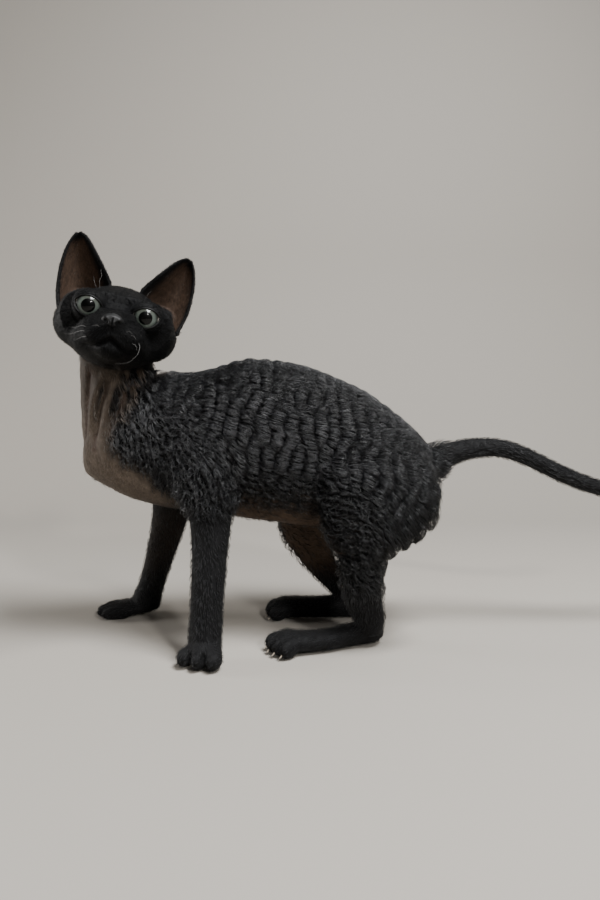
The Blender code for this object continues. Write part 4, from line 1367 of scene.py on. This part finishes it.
def painted_light_gain(places):
    """Painted light and shade on the coat: lighter on the upper coat and the near legs, as if lit from above
    and from the near side, and darker lower down, on the far legs, the shoulder and the thigh.
    """
    x, y, z = places.points.T
    upper = 0.32 + 1.35 * smooth_step(112, 142, z + 0.1 * x)
    near = smooth_step(10, -10, y)
    lower = 0.3 + 0.9 * places.fore * near + 1.6 * smooth_step(30, 44, z) * places.hind * near
    shoulder = smooth_step(-22, -50, x) * smooth_step(168, 142, z)
    upper = upper * (1 - 0.35 * shoulder - 0.25 * places.thigh)
    gain = np.where(z < 90, lower + (upper - lower) * smooth_step(70, 90, z), upper)
    return gain * (1 - places.head) + places.head


def round_share(first, second):
    """Angle round an axis as a share of a full turn."""
    return np.arctan2(first, second) / (2 * np.pi) + 0.5


def unwrap(places):
    """Place of each root on an unwrap of the skin: trunk, legs, tail, head and ears."""
    x, y, z = places.points.T
    forward, left, up = places.head_local.T
    tile = np.zeros(len(x), int)
    along = (x + 160) / 270
    turn = round_share(y - 4, z - 140)
    for number, chosen, far, angle in (
        (1, (z < 88) & (x < -30) & (y < 0), z / 90, round_share(x + 63, y + 42)),
        (2, (z < 88) & (x < -30) & (y >= 0), z / 90, round_share(x + 112, y - 44)),
        (3, (z < 84) & (x >= -30) & (y < 14), z / 90, round_share(x - 44, y + 25)),
        (4, (z < 84) & (x >= -30) & (y >= 14), z / 90, round_share(x - 20, y - 48)),
        (5, places.tail > 0.5, (x - 98) / 210, round_share(y - 14, z - 125)),
        (6, places.head > 0.5, (up + 40) / 80, round_share(left, forward + 24)),
        (7, (places.ear > 0.5) & (places.cup > 0.5), (up + 5) / 75, (left + 50) / 100),
        (8, (places.ear > 0.5) & (places.cup <= 0.5), (up + 5) / 75, (left + 50) / 100),
    ):
        tile = np.where(chosen, number, tile)
        along = np.where(chosen, far, along)
        turn = np.where(chosen, angle, turn)
    along = np.clip(along, 0, 0.985)
    turn = np.clip(turn, 0, 0.985)
    return np.column_stack([(tile % 3 + turn) / 3, (tile // 3 + along) / 3, 0 * x])


def node(tree, kind, inputs=(), output=0, **settings):
    """One output of a new node with its settings and the values or links of its inputs."""
    made = tree.nodes.new(kind)
    for name, value in settings.items():
        setattr(made, name, value)
    for key, value in dict(inputs).items():
        if isinstance(value, bpy.types.NodeSocket):
            tree.links.new(value, made.inputs[key])
        else:
            made.inputs[key].default_value = value
    return made.outputs[output] if made.outputs else None


def read_attribute(tree, name, kind):
    """An attribute of the geometry, read inside geometry nodes."""
    return node(tree, "GeometryNodeInputNamedAttribute", {"Name": name}, "Attribute", data_type=kind)


def new_group(name, kind, inputs, output):
    """A node group with named inputs and one output."""
    tree = bpy.data.node_groups.new(name, kind)
    for label, socket in inputs:
        tree.interface.new_socket(label, in_out="INPUT", socket_type="NodeSocket" + socket)
    tree.interface.new_socket(output[0], in_out="OUTPUT", socket_type="NodeSocket" + output[1])
    return tree, tree.nodes.new("NodeGroupInput").outputs


def lock_tree():
    """Geometry nodes that give guide lines the body of a lock of hair."""
    tree = bpy.data.node_groups.get("Locks")
    if tree:
        return tree
    tree, start = new_group("Locks", "GeometryNodeTree", (
        ("Guides", "Geometry"), ("Sides", "Int"), ("Flatness", "Float"),
        ("Patch", "Float"), ("Finish", "Material"),
    ), ("Locks", "Geometry"))
    line = node(tree, "GeometryNodeMeshToCurve", {"Mesh": start["Guides"]})
    line = node(tree, "GeometryNodeSetCurveNormal", {
        "Curve": line, "Normal": read_attribute(tree, "up", "FLOAT_VECTOR")}, mode="FREE")
    ring = node(tree, "GeometryNodeCurvePrimitiveCircle", {"Resolution": start["Sides"], "Radius": 1.0})
    flat = node(tree, "ShaderNodeCombineXYZ", {"X": start["Flatness"], "Y": 1.0, "Z": 1.0})
    ring = node(tree, "GeometryNodeTransform", {"Geometry": ring, "Scale": flat})
    factor = node(tree, "GeometryNodeSplineParameter", output="Factor")
    ring = node(tree, "GeometryNodeStoreNamedAttribute", {
        "Geometry": ring, "Name": "around", "Value": factor})
    body = node(tree, "GeometryNodeCurveToMesh", {
        "Curve": line, "Profile Curve": ring,
        "Scale": read_attribute(tree, "thick", "FLOAT"), "Fill Caps": True})
    patch = node(tree, "ShaderNodeCombineXYZ", {
        "X": read_attribute(tree, "around", "FLOAT"), "Y": read_attribute(tree, "along", "FLOAT")})
    patch = node(tree, "ShaderNodeVectorMath", {0: patch, "Scale": start["Patch"]}, operation="SCALE")
    patch = node(tree, "ShaderNodeVectorMath", {
        0: read_attribute(tree, "root", "FLOAT_VECTOR"), 1: patch}, operation="ADD")
    body = node(tree, "GeometryNodeStoreNamedAttribute", {
        "Geometry": body, "Name": "OFBake", "Value": patch}, data_type="FLOAT2", domain="CORNER")
    body = node(tree, "GeometryNodeSetShadeSmooth", {"Geometry": body})
    body = node(tree, "GeometryNodeRealizeInstances", {"Geometry": body})
    body = node(tree, "GeometryNodeSetMaterial", {"Geometry": body, "Material": start["Finish"]})
    node(tree, "NodeGroupOutput", {"Locks": body})
    return tree


def lock_object(name, paths, ups, thick, shade, places, random, finish):
    """One coat piece from paths of locks."""
    rings, count = paths.shape[:2]
    points = in_model(paths.transpose(1, 0, 2).reshape(-1, 3))
    index = np.arange(count * rings).reshape(count, rings)
    edges = np.stack([index[:, :-1].ravel(), index[:, 1:].ravel()], axis=1)
    mesh = bpy.data.meshes.new(name)
    mesh.vertices.add(len(points))
    mesh.vertices.foreach_set("co", points.ravel())
    mesh.edges.add(len(edges))
    mesh.edges.foreach_set("vertices", edges.ravel())
    add_attribute(mesh, "up", "FLOAT_VECTOR", ups.transpose(1, 0, 2).reshape(-1, 3))
    add_attribute(mesh, "thick", "FLOAT", thick.T.ravel() * MM)
    add_attribute(mesh, "along", "FLOAT", np.tile(np.linspace(0, 1, rings), count))
    add_attribute(mesh, "root", "FLOAT_VECTOR", np.repeat(unwrap(places), rings, axis=0))
    add_attribute(mesh, "tone", "FLOAT", np.repeat(random.uniform(0, 1, count), rings))
    hue = np.repeat(hues(places), rings, axis=0)
    # The locks' colour is multiplied by their shade, which carries painted highlights, painted shade and
    # painted light.
    add_attribute(mesh, "hue", "FLOAT_COLOR", hue * shade.T.reshape(-1, 1))
    obj = new_object(name, mesh)
    tree = lock_tree()
    locks = obj.modifiers.new("Locks", "NODES")
    locks.node_group = tree
    values = {"Sides": LOCK_SIDES, "Flatness": LOCK_FLATNESS, "Patch": PATCH_SIZE, "Finish": finish}
    for item in tree.interface.items_tree:
        if item.item_type == "SOCKET" and item.name in values:
            locks[item.identifier] = values[item.name]
    apply_modifiers(obj)
    for spare in ("up", "thick", "root"):
        if spare in obj.data.attributes:
            obj.data.attributes.remove(obj.data.attributes[spare])
    return obj


def by_region(plain, **parts):
    """A size that changes from region to region."""
    def size(places):
        found = np.full(len(places.points), float(plain))
        for name, value in parts.items():
            found = blend(found, getattr(places, name), value)
        return found
    return size


LONG_COAT = {
    "rings": 5,
    "length": by_region(8.6, tight=7.6, throat=5, belly=5, head=4, tail=5.5, fore=3.5, hind=5.5, thigh=11),
    "width": by_region(0.29, tight=0.27, thigh=0.26),
    "curl": by_region(0.2, tight=0.8, tail=0.2, fore=0.1, hind=0.3, thigh=0.45),
    "turns": 1.0,
    "lift": by_region(0.5, tight=0.9, rear=3.0),
    "sink": 0.5,
}
SHORT_COAT = {
    "rings": 3,
    "length": by_region(3.6, head=2.2, foot=2.4, tail=3.8, throat=3, belly=3.6),
    "width": by_region(0.2, head=0.15, foot=0.16, throat=0.08, belly=0.1),
    "curl": by_region(0.1),
    "turns": 0.5,
    "lift": by_region(0.15),
    "sink": 0.3,
}
LOOSE_HAIRS = {
    "rings": 6,
    "length": by_region(7.5, head=3, foot=3, tail=4.5, throat=4, belly=5, fore=4),
    "width": by_region(0.11, head=0.06, throat=0.07),
    "curl": by_region(0.9, head=0.2, tail=0.3, fore=0.3, foot=0.2),
    "turns": 1.6,
    "lift": by_region(2.6, head=0.8, fore=1.0, foot=0.6, tail=1.0, rear=3.5),
    "sink": 0.2,
}


def grow_coat(prefix, kind, density, seed, finish):
    """The coat pieces of one kind, each under the limit of triangles."""
    skin = bpy.data.objects["skin"]
    tree = BVHTree.FromObject(skin, bpy.context.evaluated_depsgraph_get())
    whole = Places(in_stance(vertex_rows(skin)), vertex_normals(skin))
    points, normals, random = root_samples(skin, density(whole), seed)
    order = np.argsort(points[:, 0])
    points, normals = points[order], normals[order]
    size = MOST_TRIANGLES // ((kind["rings"] - 1) * 2 * LOCK_SIDES + 2)
    for index, start in enumerate(range(0, len(points), size)):
        places = Places(points[start:start + size], normals[start:start + size])
        paths, ups, thick, shade = lock_paths(tree, places, random, kind)
        name = "%s_%d" % (prefix, index + 1)
        piece = lock_object(name, paths, ups, thick, shade, places, random, finish)
        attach(piece, "root")


def long_density(places):
    """Locks to a square millimetre where the coat is long."""
    return 0.528 * places.curly + 0.03 * places.belly


def short_density(places):
    """Short locks to a square millimetre on lower legs and tail, and few on throat and belly."""
    short = (1 - places.curly) * (1 - places.throat) * (1 - places.belly)
    short *= 1 - 0.85 * places.ear * places.cup
    return 0.38 * short * (1 - places.head) + 0.06 * places.throat + 0.1 * places.belly


def face_density(places):
    """Very short locks to a square millimetre on head and ears."""
    return 0.52 * places.head * (1 - 0.85 * places.ear * places.cup) * (1 - places.throat)


def loose_density(places):
    """Loose single hairs to a square millimetre."""
    return 0.026 * (1 - places.throat) * (1 - 0.6 * places.head) + 0.03 * places.throat


def plain_material(name, colour, roughness, gloss=0.5, **sockets):
    """A material whose nodes the caller extends, with its tree and shader."""
    made = bpy.data.materials.new(name)
    made.use_nodes = True
    tree = made.node_tree
    shader = tree.nodes["Principled BSDF"]
    shader.inputs["Base Color"].default_value = (*colour, 1)
    shader.inputs["Roughness"].default_value = roughness
    shader.inputs["Specular IOR Level"].default_value = gloss
    for key, value in sockets.items():
        shader.inputs[key.replace("_", " ")].default_value = value
    return made, tree, shader


def attribute(tree, name, output="Fac"):
    """A value stored on the mesh."""
    return node(tree, "ShaderNodeAttribute", output=output, attribute_name=name)


def object_place(tree):
    """Place on the object itself."""
    return node(tree, "ShaderNodeTexCoord", output="Object")


def scaled(tree, value, factor):
    """A value, vector or colour times a number."""
    if value.type == "VALUE":
        return node(tree, "ShaderNodeMath", {0: value, 1: factor}, operation="MULTIPLY")
    return node(tree, "ShaderNodeVectorMath", {0: value, "Scale": factor}, operation="SCALE")


def ranged(tree, value, before=(0, 1), after=(0, 1), **settings):
    """A value moved from one range to another and held inside it."""
    return node(tree, "ShaderNodeMapRange", {
        "Value": value, "From Min": before[0], "From Max": before[1],
        "To Min": after[0], "To Max": after[1]}, **settings)


def set_bump(tree, shader, height, strength, distance):
    """Let a height bend the shader's normal."""
    bump = node(tree, "ShaderNodeBump", {"Height": height, "Strength": strength, "Distance": distance})
    tree.links.new(bump, shader.inputs["Normal"])


def strand_group():
    """Shared streaks of hair: a value that changes fast across the lie and slowly along it."""
    tree = bpy.data.node_groups.get("Strands")
    if tree:
        return tree
    tree, start = new_group(
        "Strands", "ShaderNodeTree", (("Across", "Vector"), ("Along", "Float")), ("Streak", "Float"))
    noise = node(tree, "ShaderNodeTexNoise", {
        "Vector": start["Across"], "W": start["Along"], "Scale": 1.0, "Detail": 3.0, "Roughness": 0.6},
        "Fac", noise_dimensions="4D")
    node(tree, "NodeGroupOutput", {"Streak": ranged(tree, noise, (0.3, 0.7))})
    return tree


def streaks(tree, across, along):
    """The shared streaks at places across and along the hair."""
    return node(tree, "ShaderNodeGroup", {"Across": across, "Along": along}, node_tree=strand_group())


def coat_material(name):
    """Black hair with a cool grey sheen and fine strands."""
    roughness, gloss, sheen = COAT_LOOKS[name]
    made, tree, shader = plain_material(
        name, BASE_HUE, roughness, gloss,
        Sheen_Weight=sheen, Sheen_Roughness=0.4, Sheen_Tint=SHEEN_TINT)
    across = node(tree, "ShaderNodeCombineXYZ", {
        "X": scaled(tree, attribute(tree, "around"), 9.0), "Y": scaled(tree, attribute(tree, "tone"), 61.0)})
    grain = streaks(tree, across, scaled(tree, attribute(tree, "along"), 1.6))
    tone = ranged(tree, attribute(tree, "tone"), after=(0.5, 1.6))
    both = scaled(tree, tone, ranged(tree, grain, after=(0.6, 1.4)))
    tree.links.new(scaled(tree, attribute(tree, "hue", "Color"), both), shader.inputs["Base Color"])
    set_bump(tree, shader, grain, 0.6, GRAIN_DEPTH)
    return made


def skin_material():
    """Skin with its markings, pores and very short down."""
    made, tree, shader = plain_material(
        "skin", BASE_HUE, 0.55, 0.06, Sheen_Weight=0.008, Sheen_Roughness=0.5)
    across, along = attribute(tree, "across", "Vector"), attribute(tree, "along")
    fine = streaks(tree, scaled(tree, across, 2.6), scaled(tree, along, 0.45))
    coarse = streaks(tree, scaled(tree, across, 0.8), scaled(tree, along, 0.16))
    mottle = node(tree, "ShaderNodeTexNoise", {
        "Vector": object_place(tree), "Scale": 260.0, "Detail": 3.0}, "Fac")
    strength = scaled(tree, ranged(tree, fine, after=(0.55, 1.45)), ranged(tree, coarse, after=(0.7, 1.3)))
    strength = scaled(tree, strength, ranged(tree, mottle, after=(0.7, 1.3)))
    tree.links.new(scaled(tree, attribute(tree, "hue", "Color"), strength), shader.inputs["Base Color"])
    height = node(tree, "ShaderNodeMath", {0: fine, 1: coarse}, operation="ADD")
    set_bump(tree, shader, height, 0.5, GRAIN_DEPTH)
    return made


def eye_rings(radius, polar):
    """Rings of points round the X axis, at angles from it and radii from the middle."""
    turns = circle(64)[None, :]
    forward = (radius * np.cos(polar))[:, None] + 0 * turns
    outward = (radius * np.sin(polar))[:, None]
    return np.stack([forward, outward * np.cos(turns), outward * np.sin(turns)], axis=2)


def make_eye(name, sign):
    """One eyeball with its bulging cornea and a flat map of places on its front."""
    polar = np.concatenate([np.linspace(0.004, 0.9, 34), np.linspace(0.98, np.pi - 0.02, 16)])
    radius = GLOBE_RADIUS + 0.55 * smooth_step(0.78, 0.2, polar)
    rings = eye_rings(radius, polar)
    eye = rings_mesh(name, placed_rings(rings, eye_matrix(sign)))
    local = rings.reshape(-1, 3)
    flat = eye.data.uv_layers.new(name="Iris")
    spots = np.empty(len(eye.data.loops), np.int32)
    eye.data.loops.foreach_get("vertex_index", spots)
    flat.data.foreach_set("uv", (local[spots][:, 1:] / EYE_MAP + 0.5).ravel())
    return settle(eye)


def eye_material():
    """Pale green iris with fine rays, painted shadow of the upper lid on its upper part, a dark rim and a
    black pupil, all wet.
    """
    made, tree, shader = plain_material(
        "eye", (0.3, 0.36, 0.3), 0.4, 0.05, Coat_Weight=0.35, Coat_Roughness=0.03)
    form = bpy.context.scene.cat_form
    look = bpy.context.scene.cat_colours
    soft = {"interpolation_type": "SMOOTHSTEP"}
    place = node(tree, "ShaderNodeUVMap", uv_map="Iris")
    spot = node(tree, "ShaderNodeVectorMath", {0: place, 1: (0.5, 0.5, 0)}, operation="SUBTRACT")
    size = (EYE_MAP * MM, EYE_MAP * MM, 0)
    spot = node(tree, "ShaderNodeVectorMath", {0: spot, 1: size}, operation="MULTIPLY")
    reach = node(tree, "ShaderNodeVectorMath", {0: spot}, "Value", operation="LENGTH")
    way = node(tree, "ShaderNodeVectorMath", {0: spot}, operation="NORMALIZE")
    rays = node(tree, "ShaderNodeTexNoise", {
        "Vector": way, "Scale": 22.0, "Detail": 5.0, "Roughness": 0.65}, "Fac")
    cloud = node(tree, "ShaderNodeTexNoise", {"Vector": spot, "Scale": 420.0, "Detail": 3.0}, "Fac")
    height = node(tree, "ShaderNodeSeparateXYZ", {0: spot}, "Y")
    # Painted shadow of the upper lid: the iris darkens towards its top.
    level = ranged(tree, height, (-0.003, 0.0055))
    colour = node(tree, "ShaderNodeMix", {
        0: level, 6: (*look.iris_low, 1), 7: (*look.iris_lid_shadow, 1)}, 2, data_type="RGBA")
    strength = ranged(tree, rays, (0.3, 0.7), (0.72, 1.25))
    for factor in (
        ranged(tree, cloud, (0.3, 0.7), (0.85, 1.15)),
        ranged(tree, reach, (form.pupil - 0.0001, form.pupil + 0.0002), **soft),
        ranged(tree, reach, (form.iris - 0.0022, form.iris), (1.0, 0.12), **soft),
    ):
        strength = scaled(tree, strength, factor)
    white = ranged(tree, reach, (form.iris + 0.0001, form.iris + 0.0006), **soft)
    last = node(tree, "ShaderNodeMix", {
        0: white, 6: scaled(tree, colour, strength), 7: SCLERA}, 2, data_type="RGBA")
    tree.links.new(last, shader.inputs["Base Color"])
    return made


def lid_rim(name, sign):
    """The bare dark edge of both lids of one eye."""
    centres = []
    for angle in circle(120):
        sideways = 1.03 * opening_width(sign, math.cos(angle)) * math.cos(angle)
        swell = abs(math.sin(angle)) ** 1.25
        upward = 1.04 * (OPENING_ABOVE * swell if math.sin(angle) > 0 else -OPENING_BELOW * swell)
        forward = math.sqrt(GLOBE_RADIUS ** 2 - min(sideways ** 2 + upward ** 2, 100))
        way = np.array((forward, sideways, upward))
        centres.append(way / np.linalg.norm(way) * (GLOBE_RADIUS + 0.5))
    rings = []
    turns = circle(12)[:, None]
    for index, centre in enumerate(centres):
        ahead = centres[(index + 1) % len(centres)] - centres[index - 1]
        outward = centre / np.linalg.norm(centre)
        side = np.cross(ahead / np.linalg.norm(ahead), outward)
        rings.append(centre + 0.42 * (np.cos(turns) * side * 1.2 + np.sin(turns) * outward))
    return settle(rings_mesh(name, placed_rings(rings, eye_matrix(sign)), closed=True))


def make_nose():
    """The bare nose with its wings and nostrils."""
    rings = []
    turns = circle(96)
    for reach in np.concatenate([np.linspace(0.01, 1, 44), [0.9]]):
        a, b = reach * np.cos(turns), reach * np.sin(turns)
        left = 7.2 * a * (1 - 0.3 * smooth_step(0.1, -1, b)) - 1.0
        up = -9.7 + 5.2 * b
        forward = 14.2 - 2.6 * a ** 2 - 2.2 * smooth_step(0.2, 1.0, b) - 1.4 * smooth_step(-0.3, -1.0, b)
        side = np.abs(a)
        wing = ((side - 0.62) / 0.24) ** 2 + ((b - 0.02) / 0.32) ** 2
        forward += 0.8 * np.exp(-wing)
        slit = ((side - 0.58 - 0.3 * (b + 0.3)) / 0.17) ** 2 + ((b + 0.36) / 0.2) ** 2
        forward -= 3.4 * np.exp(-(slit ** 1.5))
        forward -= 0.8 * bell(a, 0.07) * smooth_step(0.3, -0.3, b)
        forward -= 3.2 * smooth_step(0.8, 1.0, reach)
        if len(rings) == 44:
            forward = np.full(len(turns), 4.0)
        rings.append(np.column_stack([forward, left, up]))
    return settle(rings_mesh("nose", placed_rings(rings, HEAD)))


def bare_material(name):
    """The surface of a bare piece, with a fine pebbled grain."""
    colour, roughness, scale, strength = BARE_LOOKS[name]
    made, tree, shader = plain_material(name, colour, roughness, 0.16)
    grain = node(tree, "ShaderNodeTexVoronoi", {"Vector": object_place(tree), "Scale": scale}, "Distance")
    set_bump(tree, shader, grain, strength, 0.0002)
    return made


def make_whiskers():
    """Short crinkled whiskers and brow hairs."""
    random = np.random.default_rng(71)
    pieces = []
    for path in WHISKERS:
        rows = np.array(path, float)
        rows[:, 2] = (rows[:, 2] - SEEN_FORWARD * rows[:, 0]) / SEEN_UP
        rows = smooth_rows(np.column_stack([rows, np.zeros(len(rows))]), 9)
        share = np.linspace(0, 1, len(rows))
        crinkle = np.sin(share * 16 + random.uniform(0, 6)) * 0.28 * share
        rows[:, 0] += crinkle
        rows[:, 1] += crinkle * 0.6
        rows[:, 3] = WHISKER_RADIUS * (1 - 0.75 * share)
        rows[:, :3] = placed(rows[:, :3], HEAD)
        pieces.append(rings_mesh("whisker", tube_rings(rows, 8)))
    return settle(join("whiskers", pieces))


def make_claws():
    """Small curved claws at the toes of the hind feet."""
    pieces = []
    for name in ("hind_left", "hind_right"):
        ankle, way, half_width, length, toes = PAWS[name]
        way, side = paw_axes(way)
        for sideways, back in toes:
            root = np.array(ankle) + way * length * (1.08 + back) + side * half_width * sideways * 1.1
            rows = []
            for share in np.linspace(0, 1, 9):
                spot = root + way * CLAW_LENGTH * (share - 0.25)
                spot[2] = FLOOR_LEVEL + 0.9 + 5.4 * (1 - share) ** 1.3
                rows.append((*spot, CLAW_RADIUS * (1 - share) ** 0.7 + 0.12))
            pieces.append(rings_mesh("claw", tube_rings(rows, 10)))
    return settle(join("claws", pieces))


class CAT_OT_skin(bpy.types.Operator):
    """Fuse the flesh into one skin and shape the face"""
    bl_idname = "cat.skin"
    bl_label = "Skin"

    def execute(self, context):
        skin = make_skin()
        skin.data.materials.append(skin_material())
        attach(skin, "root")
        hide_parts(*[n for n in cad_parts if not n.startswith("eye")])
        return {"FINISHED"}


class CAT_OT_eyes(bpy.types.Operator):
    """Make both eyeballs and the dark rims of their lids"""
    bl_idname = "cat.eyes"
    bl_label = "Eyes"

    def execute(self, context):
        finish = eye_material()
        dark = bare_material("lid_rim")
        for name, sign in SIDES:
            eye = make_eye("eyeball_" + name, sign)
            eye.data.materials.append(finish)
            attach(eye, "root")
            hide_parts("eye_" + name)
            rim = lid_rim("lid_rim_" + name, sign)
            rim.data.materials.append(dark)
            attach(rim, "root")
        return {"FINISHED"}


class CAT_OT_face(bpy.types.Operator):
    """Make the bare nose, the whiskers and the claws"""
    bl_idname = "cat.face"
    bl_label = "Nose, whiskers and claws"

    def execute(self, context):
        nose = make_nose()
        nose.data.materials.append(bare_material("nose"))
        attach(nose, "root")
        whiskers = make_whiskers()
        whiskers.data.materials.append(bare_material("whisker"))
        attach(whiskers, "root")
        claws = make_claws()
        claws.data.materials.append(bare_material("claw"))
        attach(claws, "root")
        return {"FINISHED"}


class CAT_OT_coat(bpy.types.Operator):
    """Grow the curly coat, the short fur and loose hairs"""
    bl_idname = "cat.coat"
    bl_label = "Coat"

    def execute(self, context):
        curls = coat_material("curls")
        down = coat_material("down")
        face = coat_material("face")
        grow_coat("coat_long", LONG_COAT, long_density, 101, curls)
        grow_coat("coat_short", SHORT_COAT, short_density, 102, down)
        grow_coat("coat_face", SHORT_COAT, face_density, 104, face)
        grow_coat("coat_loose", LOOSE_HAIRS, loose_density, 103, curls)
        return {"FINISHED"}


def add_light(name, place, target, size, power, colour):
    """A soft square light that shines from one place at another."""
    light = bpy.data.lights.new(name, "AREA")
    light.size = size
    light.energy = power
    light.color = colour
    obj = new_object(name, light)
    obj.location = place
    obj.rotation_euler = (Vector(target) - obj.location).to_track_quat("-Z", "Y").to_euler()


def make_floor():
    """A plain floor that sweeps up behind the cat."""
    turns = np.radians(np.linspace(0, 90, 19))
    sweep = np.column_stack([450 + 500 * np.sin(turns), 500 - 500 * np.cos(turns)])
    profile = np.vstack([[(-1200, 0)], sweep, [(950, 2500)]])
    points = [(x, y, z) for y, z in profile for x in (-3000, 3000)]
    faces = [(row, row + 1, row + 3, row + 2) for row in range(0, 2 * len(profile) - 2, 2)]
    return mesh_of("floor", points, faces)


class CAT_OT_stage(bpy.types.Operator):
    """Set up the floor, the soft light and the camera"""
    bl_idname = "cat.stage"
    bl_label = "Stage"

    def execute(self, context):
        scene = context.scene
        camera = bpy.data.cameras.new("camera")
        camera.sensor_fit = "VERTICAL"
        camera.sensor_height = SENSOR
        camera.lens = FOCAL_PIXELS / PICTURE_PIXELS * SENSOR
        camera.shift_y = SHIFT_PIXELS / PICTURE_PIXELS
        scene.camera = new_object("camera", camera)
        scene.camera.location = Vector(CAMERA_PLACE) + SHIFT
        scene.camera.rotation_euler = (math.pi / 2, 0, 0)
        floor = settle(make_floor())
        floor.data.materials.append(plain_material("floor", FLOOR_COLOUR, 0.75)[0])
        for light in LIGHTS:
            add_light(*light)
        world = bpy.data.worlds.new("room")
        world.use_nodes = True
        background = world.node_tree.nodes["Background"].inputs
        background[0].default_value = (0.8, 0.8, 0.8, 1)
        background[1].default_value = ROOM_LIGHT
        scene.world = world
        return {"FINISHED"}


class CAT_PT_panel(bpy.types.Panel):
    """The cat's sizes, colours and steps"""
    bl_idname = "CAT_PT_panel"
    bl_label = "Devon rex cat"
    bl_space_type = "VIEW_3D"
    bl_region_type = "UI"
    bl_category = "Cat"

    def draw(self, context):
        layout = self.layout
        for group in (context.scene.cat_form, context.scene.cat_colours):
            for name in group.bl_rna.properties.keys():
                if name not in ("rna_type", "name"):
                    layout.prop(group, name)
        for step in STEPS:
            layout.operator("cat." + step)


STEPS = ("skin", "eyes", "face", "coat", "stage")
CLASSES = (
    CatForm, CatColours, CAT_OT_skin, CAT_OT_eyes, CAT_OT_face, CAT_OT_coat, CAT_OT_stage, CAT_PT_panel,
)


def register():
    for cls in CLASSES:
        bpy.utils.register_class(cls)
    bpy.types.Scene.cat_form = PointerProperty(type=CatForm)
    bpy.types.Scene.cat_colours = PointerProperty(type=CatColours)


def unregister():
    del bpy.types.Scene.cat_colours
    del bpy.types.Scene.cat_form
    for cls in reversed(CLASSES):
        bpy.utils.unregister_class(cls)


def main():
    register()
    for step in STEPS:
        getattr(bpy.ops.cat, step)()


if __name__ == "__main__":
    main()
